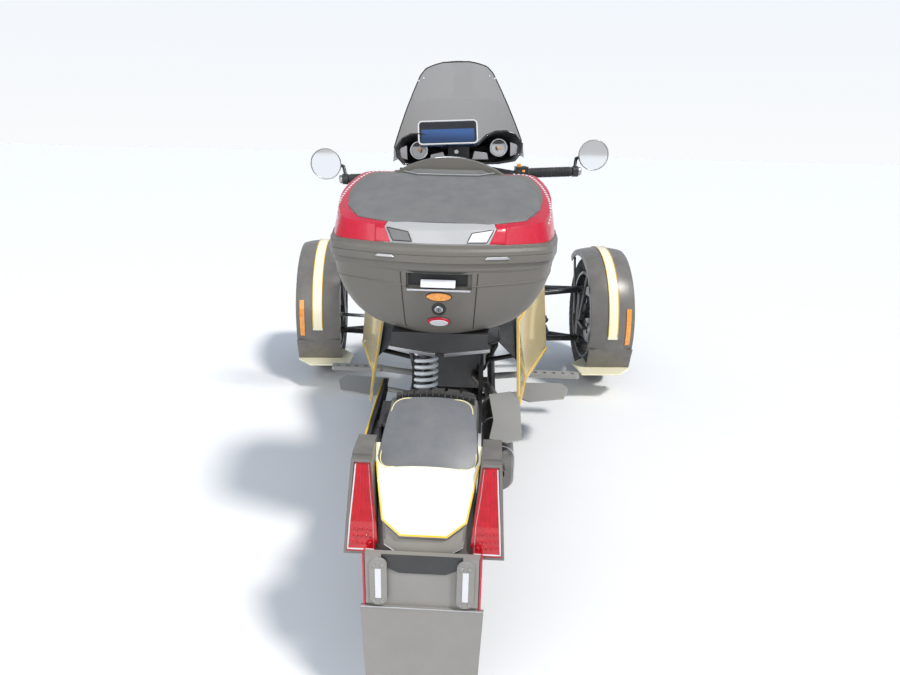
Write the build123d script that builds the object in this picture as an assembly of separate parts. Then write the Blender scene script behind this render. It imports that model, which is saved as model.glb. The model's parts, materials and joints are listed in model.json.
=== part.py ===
from build123d import *
from math import cos, radians, sin, sqrt, tan
import os

# Three-wheeled motorcycle: two steered wheels in front, one driven wheel behind.
# Millimetres. +X is the vehicle's right, +Y is forward, +Z is up.
# The origin is on the floor, in the middle of the overall box.

# Overall layout
overall_length = 2352.0
wheelbase = 1709.0
rear_overhang = 352.0
front_track = 1314.0
rear_axle_y = rear_overhang - overall_length / 2
front_axle_y = rear_axle_y + wheelbase
wheel_x = front_track / 2

# Steering
steer_lean = 30.0
steer_y = 350.0
steer_z = 1007.0
rest_steer = 5.5
wheel_ratio = 0.93
kingpin_x = 585.0

# Front tyre and wheel
front_tyre_radius = 290.2
front_tyre_width = 145.0
front_tread_width = 118.0
front_rim_radius = 203.2
front_rim_width = 120.0
front_spoke_offset = 30.0
front_bore_radius = 18.0

# Rear tyre and wheel
rear_tyre_radius = 303.2
rear_tyre_width = 205.0
rear_tread_width = 176.0
rear_rim_radius = 190.5
rear_rim_width = 178.0
rear_spoke_offset = 50.0
rear_bore_radius = 22.0
rear_tyre_front = rear_axle_y + rear_tyre_radius

# Parts of every wheel
bead_height = 9.0
shoulder_drop = 11.0
rim_wall = 6.0
flange_width = 4.0
flange_height = 7.0
hub_radius = 46.0
hub_length = 62.0
spoke_count = 5
spoke_root_width = 52.0
spoke_tip_width = 34.0
spoke_thickness = 20.0
shaft_clearance = 0.3
seat_gap = 0.3

# Brake discs and calipers
disc_radius = 135.0
disc_inner_radius = 92.0
disc_thickness = 5.0
disc_offset = -36.0
disc_arm_width = 18.0
caliper_gap = 6.0
caliper_bridge = 10.0
caliper_half_width = 18.0
caliper_length = 68.0
caliper_angle = 50.0

# Knuckles
knuckle_low_z = 168.0
knuckle_high_z = 418.0
knuckle_width = 34.0
knuckle_depth = 44.0
ball_radius = 17.0
ball_clearance = 6.0
kingpin_radius = 9.0
steer_arm_length = 112.0
steer_arm_z = 269.0
steer_arm_thickness = 14.0
steer_arm_width = 20.0
steer_arm_end = 14.0

# Front fenders
fender_clearance = 31.8
fender_inner_radius = front_tyre_radius + fender_clearance
fender_wall = 5.0
fender_half_width = 97.5
fender_crown = 8.0
fender_skirt = 36.0
fender_start = -38.0
fender_end = 104.0
stripe_width = 44.0
stripe_thickness = 3.0
stripe_start = -30.0
stripe_end = 92.0
flap_low_z = 132.0
flap_overlap_angle = 3.0
flap_foot_gap = 1.8
flap_wall = 6.0
shelf_thickness = 6.0
# Seen from above: x outboard of the wheel's centre and y forward of the tyre's rearmost point
shelf_outline = [(97, 28), (97, -10), (34, -82), (-134, -82), (-150, 50), (-84, 122), (-84, 28)]
reflector_width = 22.0
reflector_low_x = 58.0
reflector_start = 68.0
reflector_end = 97.0
stay_spread = 62.0
stay_thickness = 7.0
stay_width = 24.0
stay_lap = 12.0
stay_top_angle = 32.0
stay_foot_z = 281.0
stay_foot_height = 30.0

# Suspension arms and shocks
arm_spread = 100.0
arm_tube_radius = 13.0
lower_pivot_x = 152.0
lower_pivot_z = 188.0
upper_pivot_x = 172.0
upper_pivot_z = 392.0
bush_radius = 24.0
bush_length = 44.0
shock_foot_x = 420.0
shock_foot_rise = 30.0
shock_top_x = 236.0
shock_top_z = 545.0
shock_eye_radius = 15.0
shock_eye_length = 34.0
shock_pin_radius = 8.0
lug_gap = 2.0
lug_wall = 8.0
lug_half_width = 12.0
lug_top = 10.0
seat_tube_radius = 11.0
tower_spread = 58.0
tower_radius = 9.0
spring_radius = 36.0
spring_wire = 9.0
spring_pitch = 18.0
spring_cap = 10.0
damper_radius = 15.0

# Rack and tie rods
rack_y = 740.0
rack_z = 286.0
rack_radius = 12.0
rack_half_length = 235.0
rack_housing_radius = 23.0
rack_housing_half_length = 196.0
tie_rod_radius = 8.0
rod_end_radius = 12.0
rod_end_gap = 5.0

# Frame
rail_radius = 16.0
cross_tube_radius = 14.0
rail_front_reach = 157.0
rail_front_y = front_axle_y + rail_front_reach
nose_tube_inset = 18.0
rear_tube_inset = 40.0
front_tube_inset = 60.0
cradle_spread = 100.0
pivot_plate_x = 100.0
pivot_plate_wall = 14.0
pivot_y = -262.0
pivot_z = 330.0
pivot_clearance = 0.3
head_tube_radius = 32.0
head_tube_low_z = 715.0
head_tube_high_z = 862.0
stem_radius = 20.0
tail_strut_radius = 13.0
plate_middle_x = pivot_plate_x + pivot_plate_wall / 2

# Engine, a plain block
engine_half_width = 112.0
engine_rear_y = 70.0
engine_front_y = 520.0
engine_low_z = 226.0
engine_high_z = 468.0
sump_half_width = 64.0
sump_rear_y = 140.0
sump_front_y = 430.0
sump_low_z = 158.0
engine_foot = 44.0
engine_foot_x = 80.0

# Swingarm and final drive
swingarm_outer_x = 186.0
swingarm_inner_x = 118.0
drive_radius = 78.0
drive_inner_x = 34.0
drive_cap_radius = 60.0
drive_cap_depth = 12.0
axle_radius = 21.7
axle_end_x = 72.0
arm_end_length = 76.0
bridge_gap = 34.8
cover_thickness = 12.0

# Rear shock
rear_shock_x = -56.0
rear_shock_gap = 58.8
rear_shock_foot = (rear_tyre_front + rear_shock_gap, 398.0)
rear_shock_top = (-415.0, 600.0)

# Rear fender
rear_fender_clearance = 18.8
tyre_gap = 6.0
rear_fender_inner = rear_tyre_radius + rear_fender_clearance
rear_fender_wall = 11.0
rear_fender_half_width = 98.0
rear_fender_start = 6.0
rear_fender_end = 96.0
rear_fender_skirt = 14.0
# The crown's arc, as its drop at one distance from the middle
crown_half_width = 112.0
crown_sagitta = 17.0
# Outlines seen square on, each row x and the distance up along the fender
pad_outline = [(-90, 88), (90, 88), (108, -92), (-108, -92)]
panel_outline = [(-112, 120), (112, 120), (109, 84), (86, -37), (47, -67), (-47, -67), (-86, -37), (-109, 84)]
lip_outline = [(-87, -24), (87, -24), (80, -84), (48, -103), (-48, -103), (-80, -84)]
pad_height = 25.0
pad_corner = 30.0
pad_tilt = 28.0
panel_height = 30.0
panel_tilt = 54.0
lip_height = 17.0
lamp_bottom_z = 408.0
lamp_top_z = 583.0
lamp_frame = 6.0
lamp_reach = 44.0
lamp_recess = 12.0
shoulder_rise = 14.0
shoulder_set_back = 10.0
# Each row is height above the lamp's foot as a share, inner x, outer x, rear and front behind the axle
lamp_sections = [
    (0.0, 92, 157, 314, 262),
    (0.35, 98, 153, 300, 250),
    (1.0, 113, 146, 258, 214),
]
plate_panel_width = 230.0
plate_panel_low_z = 286.0
plate_panel_high_z = 428.0
plate_panel_wall = 11.0
plate_hole_spread_x = 194.0
plate_bar_x = plate_hole_spread_x / 2
plate_bar_width = 32.0
plate_bar_low_z = 312.0
plate_bar_depth = 7.0
plate_hole_radius = 3.5
plate_hole_spread_z = 80.0
flap_width = 250.0
flap_tip_width = 236.0
flap_top_z = 304.0
flap_bottom_z = 112.0
flap_thickness = 6.0
stay_plate_thickness = 6.0
foot_height = 10.0

# Top case
case_front_y = -354.0
case_rear_y = -784.0
case_bottom_z = 735.0
case_shelf_z = 902.0
case_flange_z = 924.0
case_split_z = 941.0
case_band_z = 951.0
case_rim_z = 963.0
case_rear_top_z = 990.0
case_front_top_z = 1086.0
case_flange = 5.0
case_step = 3.0
case_bevel = 6.0
case_width = 560.0
case_front_width = 492.0
case_rear_width = 500.0
case_rear_bow = 62.0
case_corner = 60.0
case_wall = 4.0
lid_gap = 0.5
lid_crown = 22.0
lid_shoulder = 16.0
lid_corner = 40.0
lid_crown_inset = 120.0
reflector_depth = 3.0
carrier_half_width = 118.0
carrier_rear_y = -722.0
carrier_front_y = -400.0
carrier_height = 36.0
carrier_front_height = 16.0
carrier_slope_y = -640.0
carrier_keel_drop = 16.0
carrier_keel_half_width = 12.0
trim_height = 8.0
trim_depth = 36.0
trim_overhang = 6.0
handle_half_width = 76.0
handle_low_z = 860.0
handle_high_z = 898.0
handle_depth = 24.0
hinge_radius = 6.0
hinge_pin_radius = 3.0
hinge_half_length = 30.0
hinge_gap = 0.5
hinge_x = 120.0
hinge_z = case_split_z
wedge_inner_x = 138.0
wedge_length = 96.0
band_width = 38.0
band_low_z = 960.0
strip_half_width = 128.0
panel_half_width = 112.0
panel_rear_y = -430.0
panel_rise = 7.0
crest_half_width = 150.0
crest_rise = 38.0
crest_drop = 6.0
crest_inset = 20.0
crest_depth = 30.0

# Handlebar, cowl, screen and mirrors
bar_radius = 11.0
grip_radius = 17.0
grip_inner_x = 250.0
grip_outer_x = 410.0
bar_end_x = 428.0
# Right half of the cowl's rear edge, as (x, z) from its foot to the valley between the humps
cowl_half_outline = [(150, 1036), (212, 1044), (236, 1072), (240, 1104), (214, 1138), (180, 1153),
                     (140, 1153), (104, 1140), (72, 1110)]
cowl_rear_y = 345.0
cowl_front_y = 520.0
cowl_wall = 5.0
cowl_low_z = cowl_half_outline[0][1]
cowl_front_drop = 14.0
cowl_front_width_share = 0.72
cowl_front_height_share = 0.62
dial_x = 150.0
dial_y = 362.0
dial_z = 1092.0
dial_radius = 31.0
dial_depth = 18.0
dial_post_radius = 12.0
dial_drop = 32.0
display_width = 222.0
display_height = 91.0
display_depth = 22.0
display_x = -40.0
display_y = 356.0
display_z = 1150.0
display_lean = 24.0
screen_top_z = 1402.0
screen_low_z = 1096.0
screen_top_y = 395.0
screen_low_y = 520.0
screen_wall = 4.0
screen_bend_radius = 330.0
screen_foot_half_width = 252.0
screen_side_half_width = 246.0
screen_side_start = 50.0
screen_side_bulge = 5.0
screen_shoulder_half_width = 133.0
screen_shoulder_drop = 38.0
screen_crest_half_width = 112.0
screen_crest_drop = 17.0
mirror_x = 489.0
mirror_y = 262.0
mirror_z = 1062.0
mirror_radius = 55.0
mirror_depth = 22.0
mirror_rim = 3.0
mirror_glass_depth = 3.0
bar_points = [(0, 368, 1014), (110, 368, 1014), (190, 262, 1006), (bar_end_x, 262, 1006)]

# Bodywork. Each row is y, width, low z, high z, corner radius
panel_wall = 4.0
hood_sections = [
    (1100, 200, 412, 548, 46),
    (970, 262, 408, 650, 56),
    (800, 306, 408, 750, 64),
    (640, 384, 414, 820, 80),
    (490, 400, 440, 862, 80),
]
hood_open_z = 446.0
headlamp_x = 50.0
headlamp_z = 484.0
headlamp_depth = 8.0
grille_low_z = 196.0
grille_high_z = 392.0
grille_half_width = 150.0
grille_depth = 14.0
grille_border = 14.0
grille_slats = 8
tail_cover_sections = [
    (20, 226, 470, 552, 30),
    (-130, 280, 470, 530, 26),
    (-280, 240, 508, 548, 18),
    (-368, 190, 572, 596, 10),
]
console_sections = [
    (385, 250, 520, 850, 70),
    (210, 290, 500, 780, 80),
    (20, 230, 490, 640, 50),
]
seat_sections = [
    (12, 200, 552, 640, 40),
    (-130, 290, 530, 602, 34),
    (-280, 330, 548, 606, 28),
    (-368, 250, 596, 686, 36),
]
panel_stay_radius = 8.0
hood_stay_x = 56.0
hood_stay_z = 446.0
# Stays from the frame to the side panel. Each row is y, rail x, rail z, height at the panel
panel_stays = [
    (500, 160, 398, 520),
    (200, 152, 412, 470),
    (-150, 110, 440, 470),
]
muffler_x = 158.0
muffler_sections = [
    (-330, 60, 300, 400, 26),
    (-390, 84, 284, 414, 34),
    (-690, 84, 284, 414, 34),
    (-706, 70, 292, 406, 28),
]
pipe_radius = 20.0
outlet_radius = 20.0
shield_z = 442.0
peg_y = 316.0
peg_z = 205.0
peg_inner_x = 306.0
peg_outer_x = 512.0
peg_holes = 5
peg_hole_pitch = 38.0
peg_hole_radius = 10.0
board_z = 222.0
side_wall = 6.0
# Each row is y, outer x, low z, high z, lean
side_panel_sections = [
    (560, 262, 430, 720, -30),
    (180, 358, 360, 680, -30),
    (-160, 262, 380, 600, -40),
    (-440, 224, 404, 444, -4),
]
# Covers from the middle of the body out to the side panels. Each row is y, inner x, inner z, outer z
side_cover_wall = 5.0
side_cover_rows = [
    (540, 180, 742, 700),
    (490, 186, 742, 694),
    (385, 112, 722, 684),
    (180, 126, 672, 664),
    (20, 98, 580, 620),
    (-160, 132, 566, 580),
    (-300, 150, 577, 505),
]


def rod(start, end, radius):
    """Round bar between two points."""
    a = Vector(*start)
    axis = Vector(*end) - a
    bar = Cylinder(radius, axis.length, align=(Align.CENTER, Align.CENTER, Align.MIN))
    return Plane(origin=a, z_dir=axis) * bar


def bent_bar(points, radius):
    """Round bar through several points, with a ball at each bend."""
    bar = rod(points[0], points[1], radius)
    for start, end in zip(points[1:-1], points[2:]):
        bar += Pos(*start) * Sphere(radius)
        bar += rod(start, end, radius)
    return bar


def block(low, high):
    """Box from its lowest to its highest corner."""
    size = [high[i] - low[i] for i in range(3)]
    centre = [(high[i] + low[i]) / 2 for i in range(3)]
    return Pos(*centre) * Box(*size)


def side_plate(points, x_low, x_high):
    """Flat plate from an outline of (y, z) points, between two x places."""
    plane = Plane(origin=(x_low, 0, 0), x_dir=(0, 1, 0), z_dir=(1, 0, 0))
    return extrude(plane * make_face(Polyline(*points, close=True)), x_high - x_low)


def cross_plate(points, y_low, y_high):
    """Flat plate from an outline of (x, z) points, between two y places."""
    plane = Plane(origin=(0, y_high, 0), x_dir=(1, 0, 0), z_dir=(0, -1, 0))
    return extrude(plane * make_face(Polyline(*points, close=True)), y_high - y_low)


def other_side(solid):
    """The same piece on the other side of the vehicle."""
    return mirror(solid, about=Plane.YZ)


def cross_section(y, width, low, high, corner):
    """Rounded outline across the vehicle at one place along it."""
    plane = Plane(origin=(0, y, (low + high) / 2), x_dir=(1, 0, 0), z_dir=(0, -1, 0))
    return plane * RectangleRounded(width, high - low, corner)


def lofted(table, ruled=False):
    """Body through a table of cross sections, smooth or straight between them."""
    return loft([cross_section(*row) for row in table], ruled=ruled)


def together(*pieces):
    """Separate solids kept as one piece."""
    return Compound([solid for piece in pieces for solid in piece.solids()])


def both_sides(solid):
    """The piece and its mirror image on the other side of the vehicle."""
    return together(solid, other_side(solid))


# Wheels

def tyre(radius, width, tread_width, rim_radius, rim_width):
    """Tyre ring about the X axis, with round sidewalls and a slightly crowned tread."""
    half_rim = rim_width / 2
    half_tread = tread_width / 2
    shoulder = radius - shoulder_drop
    bead = rim_radius + bead_height
    middle = (bead + shoulder) / 2
    outline = [
        Line((-half_rim, rim_radius), (-half_rim, bead)),
        ThreePointArc((-half_rim, bead), (-width / 2, middle), (-half_tread, shoulder)),
        ThreePointArc((-half_tread, shoulder), (0, radius), (half_tread, shoulder)),
        ThreePointArc((half_tread, shoulder), (width / 2, middle), (half_rim, bead)),
        Line((half_rim, bead), (half_rim, rim_radius)),
        Line((half_rim, rim_radius), (-half_rim, rim_radius)),
    ]
    return revolve(make_face(outline), Axis.X)


def rim(rim_radius, rim_width, spoke_offset, bore_radius, turn):
    """Cast wheel about the X axis, its spokes moved towards its outer side."""
    inner = rim_radius - rim_wall
    lip = rim_radius + flange_height
    barrel = [
        (-rim_width / 2 - flange_width, inner),
        (-rim_width / 2 - flange_width, lip),
        (-rim_width / 2, lip),
        (-rim_width / 2, rim_radius),
        (rim_width / 2, rim_radius),
        (rim_width / 2, lip),
        (rim_width / 2 + flange_width, lip),
        (rim_width / 2 + flange_width, inner),
    ]
    wheel = revolve(make_face(Polyline(*barrel, close=True)), Axis.X)
    hub_low = spoke_offset + spoke_thickness / 2 - hub_length
    wheel += Pos(hub_low + hub_length / 2, 0, 0) * (Rot(0, 90, 0) * Cylinder(hub_radius, hub_length))
    reach = inner + rim_wall / 2
    spoke_outline = [
        (-spoke_root_width / 2, hub_radius / 2),
        (-spoke_tip_width / 2, reach),
        (spoke_tip_width / 2, reach),
        (spoke_root_width / 2, hub_radius / 2),
    ]
    spoke = side_plate(spoke_outline, spoke_offset - spoke_thickness / 2, spoke_offset + spoke_thickness / 2)
    for i in range(spoke_count):
        wheel += Rot(turn + i * 360 / spoke_count, 0, 0) * spoke
    bore = Rot(0, 90, 0) * Cylinder(bore_radius, rim_width * 2)
    return wheel - bore


def brake_disc(bore_radius):
    """Brake disc about the X axis, carried by arms and a sleeve from the wheel's hub."""
    ring = Cylinder(disc_radius, disc_thickness) - Cylinder(disc_inner_radius, disc_thickness)
    arm = Pos((hub_radius + disc_inner_radius) / 2, 0, 0)
    arm *= Box(disc_inner_radius - hub_radius + 8, disc_arm_width, disc_thickness)
    for i in range(spoke_count):
        ring += Rot(0, 0, i * 360 / spoke_count) * arm
    sleeve_length = front_spoke_offset + spoke_thickness / 2 - hub_length - disc_offset
    sleeve = Cylinder(hub_radius, sleeve_length, align=(Align.CENTER, Align.CENTER, Align.MIN))
    sleeve -= Cylinder(bore_radius, 3 * sleeve_length)
    return Rot(0, 90, 0) * (ring + sleeve)


# Front corner, built on the right side with the wheel straight ahead

def knuckle():
    """Upright between the two ball joints, with its spindle, steering arm and fender feet."""
    x_low = kingpin_x - knuckle_width / 2
    x_high = kingpin_x + knuckle_width / 2
    inset = ball_radius + ball_clearance
    post = block((x_low, front_axle_y - knuckle_depth / 2, knuckle_low_z + inset),
                 (x_high, front_axle_y + knuckle_depth / 2, knuckle_high_z - inset))
    post += rod((kingpin_x, front_axle_y, knuckle_low_z - ball_radius),
                (kingpin_x, front_axle_y, knuckle_high_z + ball_radius), kingpin_radius)
    spindle_end = wheel_x + front_spoke_offset + spoke_thickness / 2
    axle_start = (kingpin_x, front_axle_y, front_tyre_radius)
    axle_end = (spindle_end, front_axle_y, front_tyre_radius)
    post += rod(axle_start, axle_end, front_bore_radius - shaft_clearance)
    arm_back = front_axle_y - steer_arm_length
    post += block((x_low, arm_back - steer_arm_end, steer_arm_z - steer_arm_thickness),
                  (x_low + steer_arm_width, front_axle_y, steer_arm_z))
    foot_x = wheel_x - fender_half_width + fender_wall + stay_thickness
    post += block((foot_x, front_axle_y - stay_spread, stay_foot_z),
                  (x_low + steer_arm_width, front_axle_y + stay_spread, stay_foot_z + stay_foot_height))
    return post


def fender_profile(inner_radius, wall, half_width, crown, skirt):
    """Cross section of a wheel-hugging fender, in the plane across the vehicle."""
    outer = half_width
    inner = half_width - wall
    low = inner_radius - skirt
    outline = [
        ThreePointArc((-outer, inner_radius - crown), (0, inner_radius + wall), (outer, inner_radius - crown)),
        Line((outer, inner_radius - crown), (outer, low)),
        Line((outer, low), (inner, low)),
        Line((inner, low), (inner, inner_radius - crown - wall)),
        ThreePointArc((inner, inner_radius - crown - wall), (0, inner_radius), (-inner, inner_radius - crown - wall)),
        Line((-inner, inner_radius - crown - wall), (-inner, low)),
        Line((-inner, low), (-outer, low)),
        Line((-outer, low), (-outer, inner_radius - crown)),
    ]
    return Plane.XZ * make_face(outline)


def swept_about_axle(section, start, end):
    """Section turned about the X axis, from one angle behind the top to another."""
    return Rot(start, 0, 0) * revolve(section, Axis.X, revolution_arc=end - start)


def crown_drop(x, half_width, sagitta):
    """How far a fender's crown has dropped at one distance from its middle."""
    radius = (half_width * half_width + sagitta * sagitta) / (2 * sagitta)
    return radius - sqrt(radius * radius - x * x)


def crowned_band(low_x, high_x, top, thickness, half_width, sagitta):
    """Cross section of a band that lies on a fender's crown."""
    middle_x = (low_x + high_x) / 2
    low = [(x, top - crown_drop(x, half_width, sagitta)) for x in (low_x, middle_x, high_x)]
    high = [(x, z + thickness) for x, z in low]
    outline = [ThreePointArc(*low), Line(low[2], high[2]), ThreePointArc(*reversed(high)), Line(high[0], low[0])]
    return Plane.XZ * make_face(outline)


def fender_strip(low_x, high_x, start, end):
    """Strip on the crown of the front fender."""
    section = crowned_band(low_x, high_x, fender_inner_radius + fender_wall + seat_gap, stripe_thickness,
                           fender_half_width, fender_crown + fender_wall)
    return swept_about_axle(section, start, end)


def front_fender():
    """Front fender shell over the tyre, from ahead of its top to behind its axle."""
    section = fender_profile(fender_inner_radius, fender_wall, fender_half_width, fender_crown, fender_skirt)
    return swept_about_axle(section, fender_start, fender_end)


def fender_point(angle, radius):
    """Place behind the axle at one angle from the top, as (y, z)."""
    return (-radius * sin(radians(angle)), radius * cos(radians(angle)))


def fender_flap():
    """Flat flap that carries the fender's rear end down to the shelf."""
    y_top, z_top = fender_point(fender_end - flap_overlap_angle, fender_inner_radius + fender_wall)
    low = flap_low_z - front_tyre_radius
    foot = -front_tyre_radius - flap_foot_gap
    outline = [(y_top, z_top), (y_top + flap_wall, z_top), (foot + flap_wall, low), (foot, low)]
    return side_plate(outline, -fender_half_width, fender_half_width)


def fender_shelf():
    """Coloured blade across the flap's foot, reaching behind it and inboard past the tyre."""
    blade = extrude(make_face(Polyline(*shelf_outline, close=True)), shelf_thickness)
    return Pos(0, -front_tyre_radius, flap_low_z - front_tyre_radius - shelf_thickness) * blade


def fender_stays():
    """Two plates from the knuckle's feet out to the fender's inner skirt."""
    x_low = wheel_x - fender_half_width + fender_wall
    top_y, top_z = fender_point(stay_top_angle, fender_inner_radius - fender_skirt + stay_lap)
    top_z += front_tyre_radius
    plates = []
    for way in (-1, 1):
        foot = stay_spread * way
        top = -top_y * way
        outline = [(foot, stay_foot_z), (foot - stay_width * way, stay_foot_z),
                   (top - stay_width * way, top_z), (top, top_z)]
        plates.append(Pos(0, front_axle_y, 0) * side_plate(outline, x_low, x_low + stay_thickness))
    return plates[0] + plates[1]


def caliper():
    """Brake caliper over the disc, with its bracket to the upright."""
    body = block((disc_offset - caliper_half_width, -caliper_length / 2, disc_inner_radius),
                 (disc_offset + caliper_half_width, caliper_length / 2, disc_radius + caliper_gap + caliper_bridge))
    slot = disc_thickness / 2 + caliper_gap
    body -= block((disc_offset - slot, -caliper_length, 0),
                  (disc_offset + slot, caliper_length, disc_radius + caliper_gap))
    bracket_low = kingpin_x - wheel_x
    body += block((bracket_low, -14, 0), (disc_offset - slot - 2, 14, disc_inner_radius + 20))
    return Pos(wheel_x, front_axle_y, front_tyre_radius) * (Rot(caliper_angle, 0, 0) * body)


# Suspension, right side

def shock_seat():
    """Cross tube, two lugs and the pin that carry the shock on the lower arm."""
    z = arm_height(shock_foot_x)
    pin_z = z + shock_foot_rise
    spread = arm_spread * (kingpin_x - shock_foot_x) / (kingpin_x - lower_pivot_x)
    lug = shock_eye_length / 2 + lug_gap
    shock_mount = rod((shock_foot_x, front_axle_y - spread, z), (shock_foot_x, front_axle_y + spread, z),
                      seat_tube_radius)
    for low in (-lug - lug_wall, lug):
        shock_mount += block((shock_foot_x - lug_half_width, front_axle_y + low, z),
                             (shock_foot_x + lug_half_width, front_axle_y + low + lug_wall, pin_z + lug_top))
    return shock_mount + rod((shock_foot_x, front_axle_y - lug - lug_wall / 2, pin_z),
                             (shock_foot_x, front_axle_y + lug + lug_wall / 2, pin_z), shock_pin_radius)


def suspension_arm(pivot_x, pivot_z, outer_z):
    """A-shaped arm from two bushes on the frame's rail to the knuckle's ball joint."""
    ball = (kingpin_x, front_axle_y, outer_z)
    arm = Pos(*ball) * Sphere(ball_radius)
    for way in (-1, 1):
        y = front_axle_y + way * arm_spread
        bush = rod((pivot_x, y - bush_length / 2, pivot_z), (pivot_x, y + bush_length / 2, pivot_z), bush_radius)
        arm += rod((pivot_x, y, pivot_z), ball, arm_tube_radius) + bush
    hole = rod((pivot_x, front_axle_y - 2 * arm_spread, pivot_z),
               (pivot_x, front_axle_y + 2 * arm_spread, pivot_z), rail_radius)
    pin_hole = rod((kingpin_x, front_axle_y, outer_z - 2 * ball_radius),
                   (kingpin_x, front_axle_y, outer_z + 2 * ball_radius), kingpin_radius + shaft_clearance)
    return arm - hole - pin_hole


def arm_height(x):
    """Height of the lower arm's middle line at one distance from the vehicle's middle."""
    share = (x - lower_pivot_x) / (kingpin_x - lower_pivot_x)
    return lower_pivot_z + share * (knuckle_low_z - lower_pivot_z)


def shock(foot, top, eye_axis):
    """Coil-over shock between two eyes, with its spring as a ridged sleeve."""
    axis = Vector(*top) - Vector(*foot)
    length = axis.length
    outline = [(0, 0), (damper_radius, 0)]
    spring_low = shock_eye_radius + 2 * spring_cap
    outline.append((damper_radius, spring_low - spring_cap))
    outline.append((spring_radius, spring_low - spring_cap))
    outline.append((spring_radius, spring_low))
    turns = int((length - spring_low - shock_eye_radius - spring_cap) / spring_pitch)
    for i in range(turns):
        z = spring_low + i * spring_pitch
        outline.append((spring_radius - spring_wire, z))
        outline.append((spring_radius, z + spring_pitch / 4))
        outline.append((spring_radius, z + spring_pitch / 2))
        outline.append((spring_radius - spring_wire, z + 3 * spring_pitch / 4))
    z = spring_low + turns * spring_pitch
    outline.append((spring_radius - spring_wire, z))
    outline.append((spring_radius, z))
    outline.append((spring_radius, z + spring_cap))
    outline.append((damper_radius, z + spring_cap))
    outline.append((damper_radius, length))
    outline.append((0, length))
    body = revolve(Plane.XZ * make_face(Polyline(*outline, close=True)), Axis.Z)
    eye = Rot(90, 0, 0) * Cylinder(shock_eye_radius, shock_eye_length)
    body += eye
    body += Pos(0, 0, length) * eye
    hole = Rot(90, 0, 0) * Cylinder(shock_pin_radius + shaft_clearance, 3 * shock_eye_length)
    body -= hole
    body -= Pos(0, 0, length) * hole
    plane = Plane(origin=Vector(*foot), x_dir=eye_axis.cross(axis), z_dir=axis)
    return plane * body


# Frame

def frame_side():
    """Right half of the frame: two rails, their uprights, the pivot plate and the tail strut."""
    low = [(lower_pivot_x, rail_front_y, lower_pivot_z), (lower_pivot_x, 130, lower_pivot_z),
           (plate_middle_x, pivot_y + 46, 256)]
    high = [(upper_pivot_x, rail_front_y, upper_pivot_z), (upper_pivot_x, 600, upper_pivot_z),
            (152, 60, 420), (plate_middle_x, pivot_y + 46, 446)]
    side = bent_bar(low, rail_radius) + bent_bar(high, rail_radius)
    for y in (front_axle_y - cradle_spread + bush_length, front_axle_y + cradle_spread - bush_length):
        side += rod((lower_pivot_x, y, lower_pivot_z), (upper_pivot_x, y, upper_pivot_z), rail_radius)
    for way in (-1, 1):
        side += rod((upper_pivot_x, front_axle_y + way * tower_spread, upper_pivot_z),
                    (shock_top_x, front_axle_y + way * tower_spread, shock_top_z), tower_radius)
        side += Pos(shock_top_x, front_axle_y + way * tower_spread, shock_top_z) * Sphere(tower_radius)
    side += rod((shock_top_x, front_axle_y - tower_spread, shock_top_z),
                (shock_top_x, front_axle_y + tower_spread, shock_top_z), shock_pin_radius)
    plate = [(pivot_y - 30, 240), (pivot_y + 70, 226), (pivot_y + 84, 470), (pivot_y - 10, 500),
             (pivot_y - 30, 400)]
    side += side_plate(plate, pivot_plate_x, pivot_plate_x + pivot_plate_wall)
    tail = [(plate_middle_x, pivot_y + 20, 470), (plate_middle_x, *rear_shock_top),
            (plate_middle_x, -610, 692)]
    side += bent_bar(tail, tail_strut_radius)
    side += rod((upper_pivot_x, 640, upper_pivot_z), (0, head_y(760), 760), rail_radius)
    side += rod((158, 445, 400), (0, head_y(835), 835), rail_radius)
    for y, rail_x, rail_z, z in panel_stays:
        side += rod((rail_x, y, rail_z), (panel_inner_x(y, z) + side_wall / 2, y, z), panel_stay_radius)
    return side


def panel_inner_x(y, z):
    """Inner face of the side panel at one place along it and one height."""
    for front, rear in zip(side_panel_sections, side_panel_sections[1:]):
        if rear[0] <= y <= front[0]:
            share = (front[0] - y) / (front[0] - rear[0])
            outer_x, low, high, lean = [a + share * (b - a) for a, b in zip(front[1:], rear[1:])]
            return outer_x + lean * (z - low) / (high - low) - side_wall
    raise ValueError(y)


def head_y(z):
    """Place of the steering axis along the vehicle at one height."""
    return steer_y - (z - steer_z) * tan(radians(steer_lean))


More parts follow.
